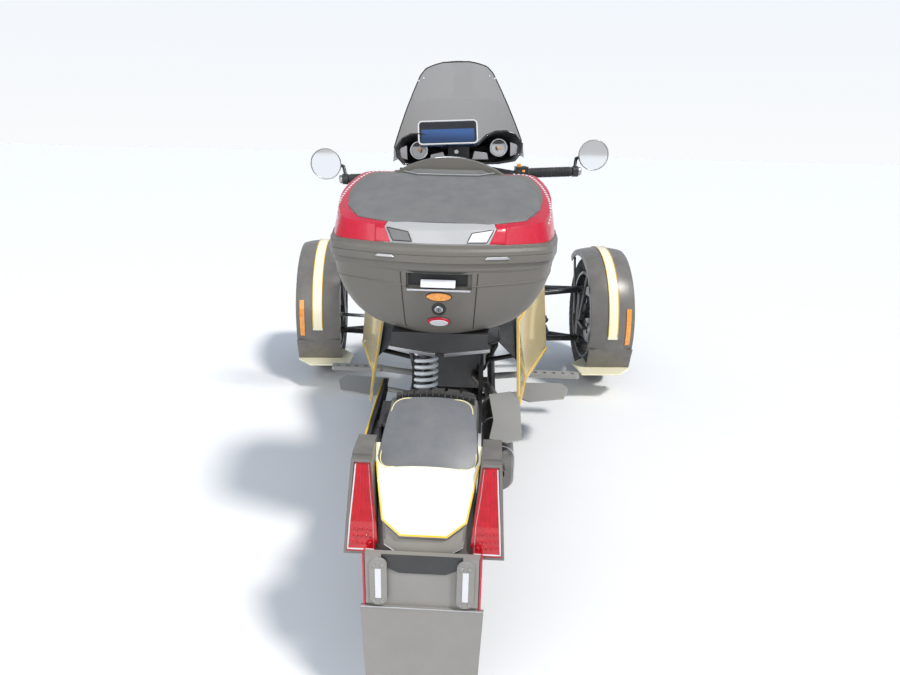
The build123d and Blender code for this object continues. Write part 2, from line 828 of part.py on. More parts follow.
def frame():
    """Whole frame, with its cross tubes, engine feet, rack brackets and steering head."""
    right = frame_side()
    whole = right + other_side(right)
    engine_tubes = (engine_rear_y + rear_tube_inset, engine_front_y - front_tube_inset)
    nose_tube_y = rail_front_y - nose_tube_inset
    for y in (*engine_tubes, front_axle_y - cradle_spread + bush_length, nose_tube_y):
        whole += rod((-lower_pivot_x, y, lower_pivot_z), (lower_pivot_x, y, lower_pivot_z), cross_tube_radius)
    whole += rod((-upper_pivot_x, nose_tube_y, upper_pivot_z), (upper_pivot_x, nose_tube_y, upper_pivot_z),
                 cross_tube_radius)
    whole += rod((-plate_middle_x, *rear_shock_top), (plate_middle_x, *rear_shock_top), shock_pin_radius)
    for y in engine_tubes:
        for x in (-engine_foot_x, engine_foot_x):
            whole += block((x - engine_foot / 2, y - engine_foot / 2, lower_pivot_z),
                           (x + engine_foot / 2, y + engine_foot / 2, engine_low_z))
    for x in (-lower_pivot_x, lower_pivot_x):
        whole += block((x - 6, rack_y - 12, lower_pivot_z), (x + 6, rack_y + 12, rack_z))
    for x in (-hood_stay_x, hood_stay_x):
        whole += rod((x, nose_tube_y, upper_pivot_z), (x, hood_sections[0][0], hood_stay_z), panel_stay_radius)
    whole += rod((0, head_y(head_tube_low_z), head_tube_low_z),
                 (0, head_y(head_tube_high_z), head_tube_high_z), head_tube_radius)
    whole -= rod((0, head_y(head_tube_low_z - 40), head_tube_low_z - 40),
                 (0, head_y(head_tube_high_z + 40), head_tube_high_z + 40), stem_radius + pivot_clearance)
    whole -= rod((-300, rack_y, rack_z), (300, rack_y, rack_z), rack_housing_radius)
    return whole


# Swingarm, final drive and rear axle

def swingarm():
    """Single arm on the left: a pivot tube, a crosswise bridge ahead of the tyre and the arm itself."""
    axle_z = rear_tyre_radius
    arm_end_y = rear_axle_y - arm_end_length
    bridge_y = rear_tyre_front + bridge_gap
    side = [(pivot_y + 32, pivot_z - 46), (pivot_y + 32, pivot_z + 46), (bridge_y, pivot_z + 46),
            (rear_axle_y + 264, axle_z + 107), (rear_axle_y + 124, axle_z + 97), (arm_end_y, axle_z + 53),
            (arm_end_y, axle_z - 53), (rear_axle_y + 124, axle_z - 41), (bridge_y + 86, pivot_z - 60)]
    plan = [
        (-pivot_plate_x, pivot_y + 30),
        (pivot_plate_x, pivot_y + 30),
        (pivot_plate_x, pivot_y - 26),
        (60, pivot_y - 60),
        (-16, bridge_y + 86),
        (-16, bridge_y),
        (-swingarm_inner_x, bridge_y - 12),
        (-swingarm_inner_x, arm_end_y),
        (-swingarm_outer_x, arm_end_y),
        (-swingarm_outer_x, bridge_y + 106),
        (-150, pivot_y - 52),
        (-pivot_plate_x, pivot_y - 36),
    ]
    arm = extrude(make_face(Polyline(*plan, close=True)), 600)
    arm &= side_plate(side, -300, 300)
    y, z = rear_shock_foot
    lug = shock_eye_length / 2 + lug_gap
    for low in (-lug - lug_wall, lug):
        arm += block((rear_shock_x + low, y - lug_half_width, z - 30),
                     (rear_shock_x + low + lug_wall, y + lug_half_width, z + lug_top))
    return arm + rod((rear_shock_x - lug - lug_wall / 2, y, z), (rear_shock_x + lug + lug_wall / 2, y, z),
                     shock_pin_radius)


def final_drive():
    """Round gear housing on the arm's inner side, with the axle that carries the wheel."""
    y = rear_axle_y
    z = rear_tyre_radius
    housing = rod((-swingarm_inner_x, y, z), (-drive_inner_x, y, z), drive_radius)
    housing += rod((-drive_inner_x, y, z), (axle_end_x, y, z), axle_radius)
    return housing


def drive_cap():
    """Round cap on the arm's outer side."""
    y = rear_axle_y
    z = rear_tyre_radius
    return rod((-swingarm_outer_x - drive_cap_depth, y, z), (-swingarm_outer_x, y, z), drive_cap_radius)


def swingarm_cover():
    """Coloured cover along the arm's outer side, as long as the arm and pointed behind."""
    tip_y = rear_axle_y + 68
    tip_z = rear_tyre_radius + 111
    outline = [(pivot_y - 68, pivot_z + 110), (pivot_y - 158, pivot_z + 106), (tip_y, tip_z),
               (tip_y + 14, tip_z - 42), (pivot_y - 158, pivot_z + 50), (pivot_y - 68, pivot_z + 70)]
    return side_plate(outline, -swingarm_outer_x - cover_thickness, -swingarm_outer_x)


# Rear fender, lamps and plate panel

def rear_fender():
    """Fender shell close over the rear tyre, carried by the arm."""
    crown = crown_drop(rear_fender_half_width, crown_half_width, crown_sagitta) - rear_fender_wall
    section = fender_profile(rear_fender_inner, rear_fender_wall, rear_fender_half_width, crown,
                             rear_fender_skirt)
    shell = swept_about_axle(section, rear_fender_start, rear_fender_end)
    return Pos(0, rear_axle_y, rear_tyre_radius) * shell


def fender_patch(outline, tilt, height, corner, grow=0.0):
    """Panel on the fender's crown, from an outline seen square on at one angle behind the top."""
    shell_radius = rear_fender_inner + rear_fender_wall
    face = make_face(Polyline(*outline, close=True))
    if corner > 0:
        face = fillet(face.vertices(), corner)
    if grow > 0:
        face = offset(face, grow, kind=Kind.INTERSECTION)
    prism = extrude(face, shell_radius)
    prism = Rot(tilt, 0, 0) * (Pos(0, 0, shell_radius / 2) * prism)
    reach = crown_half_width
    ring = crowned_band(-reach, reach, shell_radius, height, reach, crown_sagitta)
    patch = revolve(ring, Axis.X) & prism
    return Pos(0, rear_axle_y, rear_tyre_radius) * patch


def lamp_block(grow, front_reach, top_rise):
    """Tall block beside the fender on the right, narrower and further out at its top."""
    height = lamp_top_z - lamp_bottom_z
    sections = []
    for share, inner_x, outer_x, rear, front in lamp_sections:
        z = lamp_bottom_z + share * height - grow * (share == 0) + top_rise * (share == 1)
        low_y = rear_axle_y - rear
        high_y = rear_axle_y - front + front_reach
        width = outer_x + grow - inner_x
        sections.append(Pos(inner_x + width / 2, (low_y + high_y) / 2, z) * Rectangle(width, high_y - low_y))
    return loft(sections, ruled=True)


def fender_side():
    """Room that the fender's shell and its panels take, with the gap that the lamps keep from it."""
    radius = rear_fender_inner + rear_fender_wall + seat_gap
    half = rear_fender_half_width + seat_gap
    drum = Pos(0, rear_axle_y, rear_tyre_radius) * (Rot(0, 90, 0) * Cylinder(radius, 2 * half))
    tyre_half = rear_tyre_width / 2 + tyre_gap
    drum += Pos(0, rear_axle_y, rear_tyre_radius) * (
        Rot(0, 90, 0) * Cylinder(rear_tyre_radius + tyre_gap, 2 * tyre_half))
    panel = fender_patch(panel_outline, panel_tilt, panel_height, 0, grow=2 * seat_gap)
    pad = fender_patch(pad_outline, pad_tilt, pad_height, pad_corner, grow=2 * seat_gap)
    return drum + panel + pad


def tail_lamp():
    """Red lens of the lamp, its foot wider than its top."""
    return lamp_block(0, 0, 0) - fender_side()


def lamp_housing():
    """Lamp's housing, a narrow frame round the lens and a shoulder above and ahead of it."""
    room = lamp_block(lamp_frame, lamp_reach, shoulder_rise)
    shoulder_y = rear_axle_y - lamp_sections[-1][3] + shoulder_set_back
    behind = block((0, rear_axle_y - 2 * lamp_sections[0][3], lamp_top_z + lamp_frame),
                   (2 * lamp_sections[0][2], shoulder_y, lamp_top_z + 2 * shoulder_rise))
    lens = lamp_block(0, 0, 0)
    return room - behind - lens - Pos(0, -lamp_recess, 0) * lens - fender_side()


def plate_panel():
    """Upright panel behind the fender, below the coloured panel."""
    rear = rear_axle_y - rear_fender_inner - rear_fender_wall - plate_panel_wall
    half = plate_panel_width / 2
    return block((-half, rear, plate_panel_low_z), (half, rear + plate_panel_wall, plate_panel_high_z))


def plate_bars():
    """Two upright bars that a number plate is bolted to."""
    rear = rear_axle_y - rear_fender_inner - rear_fender_wall - plate_panel_wall
    middle_z = (plate_panel_high_z + plate_bar_low_z) / 2
    pair = []
    for x in (-plate_bar_x, plate_bar_x):
        bar = block((x - plate_bar_width / 2, rear - plate_bar_depth, plate_bar_low_z),
                    (x + plate_bar_width / 2, rear, plate_panel_high_z))
        for z in (middle_z - plate_hole_spread_z / 2, middle_z + plate_hole_spread_z / 2):
            bar -= rod((x, rear - 20, z), (x, rear + 20, z), plate_hole_radius)
        pair.append(bar)
    return pair


def mud_flap():
    """Flat flap hung on the plate panel's lower edge."""
    rear = rear_axle_y - rear_fender_inner - rear_fender_wall - plate_panel_wall
    outline = [(-flap_width / 2, flap_top_z), (flap_width / 2, flap_top_z),
               (flap_tip_width / 2, flap_bottom_z), (-flap_tip_width / 2, flap_bottom_z)]
    plane = Plane(origin=(0, rear, 0), x_dir=(1, 0, 0), z_dir=(0, -1, 0))
    return extrude(plane * make_face(Polyline(*outline, close=True)), flap_thickness)


def fender_carrier():
    """Plate from the arm's end up to the fender's left skirt."""
    skirt = rear_fender_inner - rear_fender_skirt / 2
    outline = [(24, -3), (24, 77), fender_point(7, skirt), fender_point(23, skirt), (-106, 197),
               (-76, 77), (-66, -3)]
    plate = side_plate(outline, -swingarm_inner_x, -swingarm_inner_x + stay_plate_thickness)
    low = rear_fender_inner - rear_fender_skirt
    high = low + foot_height
    foot = [fender_point(8, low), fender_point(8, high), fender_point(22, high), fender_point(22, low)]
    plate += side_plate(foot, -swingarm_inner_x, -rear_fender_half_width - seat_gap)
    return Pos(0, rear_axle_y, rear_tyre_radius) * plate - final_drive()


# Top case

def case_outline(inset_x, inset_y, corner):
    """Top case seen from above: straight in front, bowed sides and a bowed rear."""
    front = case_front_y - inset_y
    front_x = case_front_width / 2 - inset_x
    middle_y = (case_front_y + case_rear_y) / 2
    middle_x = case_width / 2 - inset_x
    rear_x = case_rear_width / 2 - inset_x
    rear_side_y = case_rear_y + case_rear_bow + inset_y
    rear = case_rear_y + inset_y
    outline = [
        Line((-front_x, front), (front_x, front)),
        ThreePointArc((front_x, front), (middle_x, middle_y), (rear_x, rear_side_y)),
        ThreePointArc((rear_x, rear_side_y), (0, rear), (-rear_x, rear_side_y)),
        ThreePointArc((-rear_x, rear_side_y), (-middle_x, middle_y), (-front_x, front)),
    ]
    face = make_face(outline)
    return fillet(face.vertices(), corner)


def tub_body(wall):
    """Tub's outer shape, or its inner shape where a wall is given."""
    table = (
        (case_bottom_z, 128, 62, 44),
        (case_bottom_z + 42, 58, 30, 54),
        (case_bottom_z + 100, 20, 14, 58),
        (case_shelf_z, case_step, case_step, case_corner),
    )
    sections = []
    for z, inset_x, inset_y, corner in table:
        lift = wall if z == case_bottom_z else 0
        outline = case_outline(inset_x + wall, inset_y + wall, corner - wall)
        sections.append(Pos(0, 0, z + lift) * outline)
    full = case_outline(wall, wall, case_corner - wall)
    neck = loft([sections[-1], Pos(0, 0, case_shelf_z + case_bevel) * full], ruled=True)
    band = extrude(Pos(0, 0, case_shelf_z + case_bevel) * full, case_split_z - case_shelf_z - case_bevel)
    return loft(sections) + neck + band


def case_tub():
    """Hollow tub of the top case, with a handle recess in its rear wall."""
    recess_low = (-handle_half_width, case_rear_y - 20, handle_low_z)
    recess_high = (handle_half_width, case_rear_y + handle_depth, handle_high_z)
    pocket_low = (recess_low[0] - case_wall, recess_low[1], recess_low[2] - case_wall)
    pocket_high = (recess_high[0] + case_wall, recess_high[1] + case_wall, recess_high[2] + case_wall)
    flange = Pos(0, 0, case_flange_z) * case_outline(-case_flange, -case_flange, case_corner + case_flange)
    outer = tub_body(0)
    tub = outer + extrude(flange, case_split_z - case_flange_z) - tub_body(case_wall)
    tub += block(pocket_low, pocket_high) & outer
    return tub - block(recess_low, recess_high)


def sloped(y, z):
    """Plane along the lid's top, through one place on it."""
    rise = case_front_top_z - case_rear_top_z
    run = case_front_y - case_rear_y
    return Plane(origin=(0, y, z), x_dir=(1, 0, 0), z_dir=(0, -rise, run))


def lid_body(wall):
    """Lid's outer shape, or its inner shape where a wall is given."""
    middle_y = (case_front_y + case_rear_y) / 2
    middle_z = (case_front_top_z + case_rear_top_z) / 2
    centre = Pos(0, -middle_y, 0)
    start = case_split_z + lid_gap
    wide = case_outline(wall - case_flange, wall - case_flange, case_corner + case_flange - wall)
    full = case_outline(wall, wall, case_corner - wall)
    bands = extrude(Pos(0, 0, start) * wide, case_band_z - start)
    bands += loft([Pos(0, 0, case_band_z) * wide, Pos(0, 0, case_band_z + case_bevel) * full], ruled=True)
    bands += extrude(Pos(0, 0, case_band_z + case_bevel) * full, case_rim_z - case_band_z - case_bevel)
    low = Pos(0, 0, case_rim_z) * case_outline(case_step + wall, case_step + wall, case_corner - wall)
    inset = lid_shoulder + wall
    shoulder = sloped(middle_y, middle_z - wall) * (centre * case_outline(inset, inset, lid_corner - wall))
    crown_outline = case_outline(lid_crown_inset, lid_crown_inset, lid_corner - wall)
    crown = sloped(middle_y, middle_z + lid_crown - wall) * (centre * crown_outline)
    return bands + loft([low, shoulder], ruled=True) + loft([shoulder, crown], ruled=True)


def lid_crest(outer):
    """Arched lip across the lid's front edge, above the lid itself."""
    y = case_front_y - crest_inset
    plane = Plane(origin=(0, y, 0), x_dir=(1, 0, 0), z_dir=(0, -1, 0))
    foot_z = case_front_top_z - 2 * crest_rise
    outline = [
        ThreePointArc((-crest_half_width, case_front_top_z - crest_drop), (0, case_front_top_z + crest_rise),
                      (crest_half_width, case_front_top_z - crest_drop)),
        Line((crest_half_width, case_front_top_z - crest_drop), (crest_half_width, foot_z)),
        Line((crest_half_width, foot_z), (-crest_half_width, foot_z)),
        Line((-crest_half_width, foot_z), (-crest_half_width, case_front_top_z - crest_drop)),
    ]
    arch = extrude(plane * make_face(outline), crest_depth)
    return arch - outer


def lid_pieces():
    """Lid shell, its red reflectors, the pale strip between them and the raised front panel."""
    outer = lid_body(0)
    hollow = lid_body(case_wall) - block((-400, -900, case_split_z), (400, -300, case_split_z + lid_gap))
    skin = outer - lid_body(reflector_depth)
    far = 400
    corner_outline = [(wedge_inner_x, case_rim_z + 2), (wedge_inner_x + 26, case_rear_top_z + 60), (far, 1200),
                      (far, case_rim_z + 2)]
    rear_plane = Plane(origin=(0, case_rear_y + wedge_length, 0), x_dir=(1, 0, 0), z_dir=(0, -1, 0))
    corner = extrude(rear_plane * make_face(Polyline(*corner_outline, close=True)), wedge_length + 40)
    wide = extrude(Pos(0, 0, case_rim_z + 2) * case_outline(-20, -20, case_corner), 400)
    narrow = extrude(Pos(0, 0, case_rim_z + 2) * case_outline(band_width, band_width, 40), 400)
    keep_clear = block((-panel_half_width - 14, -900, 900), (panel_half_width + 14, -300, 1300))
    low_side = block((-far, case_rear_y + wedge_length, 900), (far, -300, band_low_z))
    band = (wide - narrow) & block((-far, case_rear_y + wedge_length, case_rim_z), (far, -300, 1300))
    band = band - keep_clear - low_side
    red = skin & (corner + other_side(corner) + band)
    strip_outline = [(-strip_half_width, case_rim_z + 2), (strip_half_width, case_rim_z + 2),
                     (strip_half_width - 8, case_rear_top_z - 6), (-strip_half_width + 8, case_rear_top_z - 6)]
    strip_plane = Plane(origin=(0, case_rear_y + 60, 0), x_dir=(1, 0, 0), z_dir=(0, -1, 0))
    strip = skin & extrude(strip_plane * make_face(Polyline(*strip_outline, close=True)), 120)
    shell = outer - hollow - red - strip
    raised = [(-panel_half_width, -330), (panel_half_width, -330), (panel_half_width - 22, panel_rear_y),
              (-panel_half_width + 22, panel_rear_y)]
    prism = Pos(0, 0, 950) * extrude(make_face(Polyline(*raised, close=True)), 300)
    panel = ((Pos(0, 0, panel_rise) * outer) & prism) - outer
    return shell, red, strip, panel + lid_crest(outer)


def hinge_barrels(on_lid):
    """Hinge barrels on the case's front edge, either the lid's or the tub's."""
    face_y = case_front_y + case_flange
    y = face_y + hinge_gap + hinge_radius
    pieces = []
    for x in (-hinge_x, hinge_x):
        if on_lid:
            low, high = x - hinge_half_length / 3 + 0.5, x + hinge_half_length / 3 - 0.5
            barrel = rod((low, y, hinge_z), (high, y, hinge_z), hinge_radius)
            barrel += block((low, face_y, hinge_z + hinge_gap), (high, y, case_band_z))
            barrel -= rod((low - 9, y, hinge_z), (high + 9, y, hinge_z), hinge_pin_radius + pivot_clearance)
            pieces.append(barrel)
        else:
            low_x = x - hinge_half_length
            high_x = x + hinge_half_length
            barrel = rod((low_x, y, hinge_z), (high_x, y, hinge_z), hinge_radius)
            barrel += block((low_x, face_y, case_flange_z), (high_x, y, hinge_z))
            barrel -= rod((x - hinge_half_length / 3, y, hinge_z), (x + hinge_half_length / 3, y, hinge_z), 30)
            barrel += rod((low_x, y, hinge_z), (high_x, y, hinge_z), hinge_pin_radius)
            pieces.append(barrel)
    return pieces


def case_carrier():
    """Carrier under the tub, its lower edge dropping to a keel in the middle."""
    top = case_bottom_z
    low = top - carrier_height
    keel_z = low - carrier_keel_drop
    outline = [(carrier_rear_y, top), (carrier_front_y, top), (carrier_front_y, top - carrier_front_height),
               (carrier_slope_y, keel_z), (carrier_rear_y, keel_z)]
    body = side_plate(outline, -carrier_half_width, carrier_half_width)
    edge = [(-carrier_half_width, top), (carrier_half_width, top), (carrier_half_width, low),
            (carrier_keel_half_width, keel_z), (-carrier_keel_half_width, keel_z), (-carrier_half_width, low)]
    return body & cross_plate(edge, carrier_rear_y, carrier_front_y)


def carrier_trims():
    """Two pale strips along the carrier's lower edge, falling to the keel between them."""
    low = case_bottom_z - carrier_height
    keel_z = low - carrier_keel_drop
    slope = carrier_keel_drop / (carrier_half_width - carrier_keel_half_width)
    end_x = carrier_half_width + trim_overhang
    end_z = low + trim_overhang * slope
    strip = [(carrier_keel_half_width, keel_z), (end_x, end_z), (end_x, end_z - trim_height),
             (carrier_keel_half_width, keel_z - trim_height)]
    rear = carrier_rear_y - trim_overhang
    return both_sides(cross_plate(strip, rear, rear + trim_depth))


# Bodywork

def hood():
    """Nose and hood over the front of the frame, open below and behind."""
    front = hood_sections[0][0]
    rear = hood_sections[-1][0]
    inner_sections = [(y, width - 2 * panel_wall, low + panel_wall, high - panel_wall, corner - panel_wall)
                      for y, width, low, high, corner in hood_sections]
    inner_sections[0] = (front - panel_wall, *inner_sections[0][1:])
    shell = lofted(hood_sections) - lofted(inner_sections)
    half = hood_sections[-1][1]
    return shell - block((-half, rear, 0), (half, front - 2 * panel_wall, hood_open_z))


def headlamps():
    """Two lamps in the nose, their lenses proud of it."""
    y = hood_sections[0][0]
    lens = block((headlamp_x - 38, y, headlamp_z - 30), (headlamp_x + 38, y + headlamp_depth, headlamp_z + 30))
    lens = fillet(lens.edges().filter_by(Axis.Y), 18)
    return both_sides(lens)


def grille():
    """Slatted grille in front of the frame's cradle."""
    low, high = grille_low_z, grille_high_z
    half = grille_half_width
    y = rail_front_y
    panel = block((-half, y, low), (half, y + grille_depth, high))
    panel -= block((-half + grille_border, y - 1, low + grille_border),
                   (half - grille_border, y + 99, high - grille_border))
    pitch = (high - low - 2 * grille_border) / (grille_slats + 1)
    for i in range(grille_slats):
        z = low + grille_border + (i + 1) * pitch
        panel += block((-half + grille_border, y + 2, z - 3),
                       (half - grille_border, y + grille_depth - 2, z + 3))
    return panel


def console():
    """Cover between the steering head and the seat, open below."""
    outer = lofted(console_sections)
    inner = lofted([(y, width - 2 * panel_wall, low - 30, high - panel_wall, corner - panel_wall)
                    for y, width, low, high, corner in console_sections])
    wall = block((-300, console_sections[0][0] - panel_wall, 0), (300, 600, 1200))
    return outer - (inner - wall)


def tail_cover():
    """Dark cover under the seat, cut where the frame passes."""
    return lofted(tail_cover_sections)


def exhaust():
    """Pipe from the engine to the muffler beside the wheel, with its hanger and outlet."""
    muffler = Pos(muffler_x, 0, 0) * lofted(muffler_sections, ruled=True)
    pipe = [(92, engine_rear_y, 300), (92, engine_rear_y - 30, 300), (142, -20, 270), (150, -120, 296),
            (muffler_x, -345, 350)]
    part = muffler + bent_bar(pipe, pipe_radius)
    rear = muffler_sections[-1][0]
    part += rod((muffler_x, rear - 16, 350), (muffler_x, rear, 350), outlet_radius)
    part -= rod((muffler_x, rear - 17, 350), (muffler_x, rear + 30, 350), outlet_radius - 3)
    hanger_x = pivot_plate_x + pivot_plate_wall
    part += block((hanger_x, -288, 408), (hanger_x + 14, -250, 424))
    return part + rod((hanger_x + 7, -270, 416), (muffler_x - 8, -410, 404), 7)


def heat_shield():
    """Pale shield above the muffler, on two posts."""
    plan = [(132, -430), (198, -404), (222, -470), (217, -700), (176, -724), (132, -706), (144, -600)]
    shield = Pos(0, 0, shield_z) * extrude(make_face(Polyline(*plan, close=True)), 3)
    for y in (-480, -640):
        shield += rod((muffler_x, y, muffler_sections[1][3]), (muffler_x, y, shield_z), 8)
    return shield


def footrest():
    """Pierced foot peg on its arm from the frame's rail, and the board behind it."""
    part = rod((lower_pivot_x, peg_y, lower_pivot_z), (peg_inner_x, peg_y, peg_z), 13)
    peg = block((peg_inner_x - 6, peg_y - 21, peg_z - 8), (peg_outer_x, peg_y + 21, peg_z + 8))
    peg = fillet(peg.edges().filter_by(Axis.Z), 12)
    for i in range(peg_holes):
        x = peg_inner_x + 24 + i * peg_hole_pitch
        peg -= Pos(x, peg_y, peg_z) * Cylinder(peg_hole_radius, 40)
    part += peg
    part += rod((lower_pivot_x - 4, 90, 196), (300, 90, board_z), 10)
    plan = [(252, 168), (424, 180), (446, 132), (420, 40), (290, 0), (252, 30)]
    part += Pos(0, 0, board_z) * extrude(make_face(Polyline(*plan, close=True)), 5)
    rail = bent_bar([(lower_pivot_x, rail_front_y, lower_pivot_z), (lower_pivot_x, 130, lower_pivot_z),
                     (plate_middle_x, pivot_y + 46, 256)], rail_radius)
    return part - rail


# Rack and tie rods

def rack_housing():
    """Tube across the frame that the rack slides in."""
    tube = rod((-rack_housing_half_length, rack_y, rack_z), (rack_housing_half_length, rack_y, rack_z),
               rack_housing_radius)
    return tube - rod((-400, rack_y, rack_z), (400, rack_y, rack_z), rack_radius + shaft_clearance)


def steering_arm_eye(side):
    """End of the steering arm at rest, on the right (1) or the left (-1)."""
    turn = radians(rest_steer * wheel_ratio)
    x = side * (steer_arm_width / 2 - knuckle_width / 2)
    y = -steer_arm_length
    return (side * kingpin_x + x * cos(turn) - y * sin(turn), front_axle_y + x * sin(turn) + y * cos(turn))


def tie_rods():
    """Sliding rack with a tie rod on each end, their outer eyes above the steering arms."""
    shift = steer_arm_length * sin(radians(rest_steer * wheel_ratio))
    part = rod((-rack_half_length + shift, rack_y, rack_z), (rack_half_length + shift, rack_y, rack_z),
               rack_radius)
    for side in (-1, 1):
        inner = (side * rack_half_length + shift, rack_y, rack_z)
        eye = (*steering_arm_eye(side), steer_arm_z + rod_end_gap + rod_end_radius)
        link = Pos(*inner) * Sphere(rack_radius) + rod(inner, eye, tie_rod_radius)
        part += link + Pos(*eye) * Sphere(rod_end_radius)
    return part


def seat():
    """One cushion, lowest in its middle and raised at its rear."""
    return lofted(seat_sections)


def slanted_panel(table):
    """Long side panel from a table of upright sections: place, outer x, low z, high z and lean."""
    sections = []
    for y, outer_x, low, high, lean in table:
        outline = [(outer_x, low), (outer_x + lean, high), (outer_x + lean - side_wall, high),
                   (outer_x - side_wall, low)]
        plane = Plane(origin=(0, y, 0), x_dir=(1, 0, 0), z_dir=(0, -1, 0))
        sections.append(plane * make_face(Polyline(*outline, close=True)))
    return loft(sections, ruled=True)


def side_cover():
    """Sloping cover on the right, from the hood, console and seat out to the side panel."""
    sections = []
    for y, inner_x, inner_z, outer_z in side_cover_rows:
        outer_x = panel_inner_x(y, outer_z) + side_wall / 2
        outline = [(inner_x, inner_z), (outer_x, outer_z), (outer_x, outer_z - side_cover_wall),
                   (inner_x, inner_z - side_cover_wall)]
        plane = Plane(origin=(0, y, 0), x_dir=(1, 0, 0), z_dir=(0, -1, 0))
        sections.append(plane * make_face(Polyline(*outline, close=True)))
    cover = loft(sections, ruled=True) - lofted(hood_sections) - lofted(console_sections)
    return cover - seat() - tail_cover()


def engine():
    """Engine and gearbox as one plain block on the frame's feet, with its flat sump below."""
    body = block((-engine_half_width, engine_rear_y, engine_low_z),
                 (engine_half_width, engine_front_y, engine_high_z))
    return body + block((-sump_half_width, sump_rear_y, sump_low_z),
                        (sump_half_width, sump_front_y, engine_low_z))


# Steered parts above the frame, built straight ahead

def steered(solid):
    """Turn a piece to the rest position of the handlebar."""
    axis = Axis((0, steer_y, steer_z), (0, -sin(radians(steer_lean)), cos(radians(steer_lean))))
    return together(*[part.rotate(axis, rest_steer) for part in solid.solids()])


def stem():
    """Steering stem through the head tube, with the clamp that carries the bar and the cowl."""
    low = head_tube_low_z + 5
    high = 985
    part = rod((0, head_y(low), low), (0, head_y(high), high), stem_radius)
    part += rod((0, head_y(head_tube_high_z + 8), head_tube_high_z + 8), (0, head_y(high), high), 28)
    part += block((-70, 330, 985), (70, 400, 1003))
    bracket = [(382, 1003), (398, 1003), (398, 1140), (366, 1140), (366, 1118), (382, 1040)]
    part += side_plate(bracket, -40, 40)
    return part - display()


def handlebar():
    """Bar from end to end, bent back to the grips, on two clamps."""
    bar = bent_bar(bar_points, bar_radius)
    left = [(-x, y, z) for x, y, z in bar_points]
    bar += bent_bar(left, bar_radius)
    for x in (-50, 50):
        bar += block((x - 12, 354, 1003), (x + 12, 381, 1024))
    return bar


def grips():
    """Ribbed rubber sleeve on each end of the bar."""
    y, z = bar_points[-1][1:]
    sleeve = rod((grip_inner_x, y, z), (grip_outer_x, y, z), grip_radius)
    sleeve += rod((grip_inner_x - 6, y, z), (grip_inner_x, y, z), grip_radius + 7)
    sleeve -= rod((grip_inner_x - 20, y, z), (grip_outer_x + 20, y, z), bar_radius)
    return both_sides(sleeve)


def switch_boxes():
    """Switch housing inboard of each grip."""
    y, z = bar_points[-1][1:]
    box = block((grip_inner_x - 50, y - 22, z - 24), (grip_inner_x - 8, y + 22, z + 24))
    box -= rod((grip_inner_x - 90, y, z), (grip_outer_x, y, z), bar_radius)
    return both_sides(box)


def mirror_arm():
    """Clamp on the bar's end and the arm up to the mirror."""
    y, z = bar_points[-1][1:]
    part = rod((grip_outer_x + 2, y, z), (bar_end_x + 4, y, z), 19)
    part += bent_bar([(bar_end_x - 8, y, z + 12), (bar_end_x, mirror_y + 16, mirror_z - 12),
                      (mirror_x - 28, mirror_y + mirror_depth, mirror_z)], 6)
    return part - rod((0, y, z), (bar_end_x + seat_gap, y, z), bar_radius + seat_gap)


def mirror_head():
    """Round mirror housing, domed in front, with a seat for the glass."""
    profile = [(0, 0), (mirror_radius, 0), (mirror_radius, 7), (mirror_radius - 10, 15), (24, mirror_depth),
               (0, mirror_depth)]
    head = revolve(Plane.XZ * make_face(Polyline(*profile, close=True)), Axis.Z)
    head -= Cylinder(mirror_radius - mirror_rim, 2 * mirror_glass_depth)
    return Pos(mirror_x, mirror_y, mirror_z) * (Rot(-90, 0, 0) * head)


def mirror_glass():
    """Round glass in the mirror's seat."""
    radius = mirror_radius - mirror_rim - seat_gap
    glass = Cylinder(radius, mirror_glass_depth - 2 * seat_gap, align=(Align.CENTER, Align.CENTER, Align.MIN))
    return Pos(mirror_x, mirror_y + seat_gap, mirror_z) * (Rot(-90, 0, 0) * glass)


def cowl():
    """Instrument cowl, a hollow shell with two humps that is open towards the rider."""
    outline = cowl_half_outline + [(-x, z) for x, z in reversed(cowl_half_outline)]
    front_low = cowl_low_z - cowl_front_drop
    front_outline = [(x * cowl_front_width_share, front_low + (z - cowl_low_z) * cowl_front_height_share)
                     for x, z in outline]
    rear = Plane(origin=(0, cowl_rear_y, 0), x_dir=(1, 0, 0), z_dir=(0, -1, 0))
    front = Plane(origin=(0, cowl_front_y, 0), x_dir=(1, 0, 0), z_dir=(0, -1, 0))
    faces = (front * make_face(Polyline(*front_outline, close=True)),
             rear * make_face(Polyline(*outline, close=True)))
    outer = loft(faces, ruled=True)
    inner_rear = offset(faces[1], -cowl_wall, kind=Kind.INTERSECTION)
    inner_front = Pos(0, -cowl_wall, 0) * offset(faces[0], -cowl_wall, kind=Kind.INTERSECTION)
    shell = outer - loft((inner_front, inner_rear), ruled=True)
    return shell + dials()


def dials():
    """Two round dials under the humps, on posts from the cowl's front wall."""
    pair = []
    for x in (-dial_x, dial_x):
        dial = rod((x, dial_y, dial_z), (x, dial_y + dial_depth, dial_z), dial_radius)
        dial += rod((x, dial_y, dial_z), (x * cowl_front_width_share, cowl_front_y - cowl_wall / 2, dial_z - dial_drop),
                    dial_post_radius)
        pair.append(dial)
    return pair[0] + pair[1]


def display(clearance=0.0):
    """Flat instrument display, leaning back, on its bracket."""
    slab = Box(display_width + clearance, display_depth + clearance, display_height + clearance)
    slab = fillet(slab.edges().filter_by(Axis.Y), 14)
    return Pos(display_x, display_y, display_z) * (Rot(-display_lean, 0, 0) * slab)


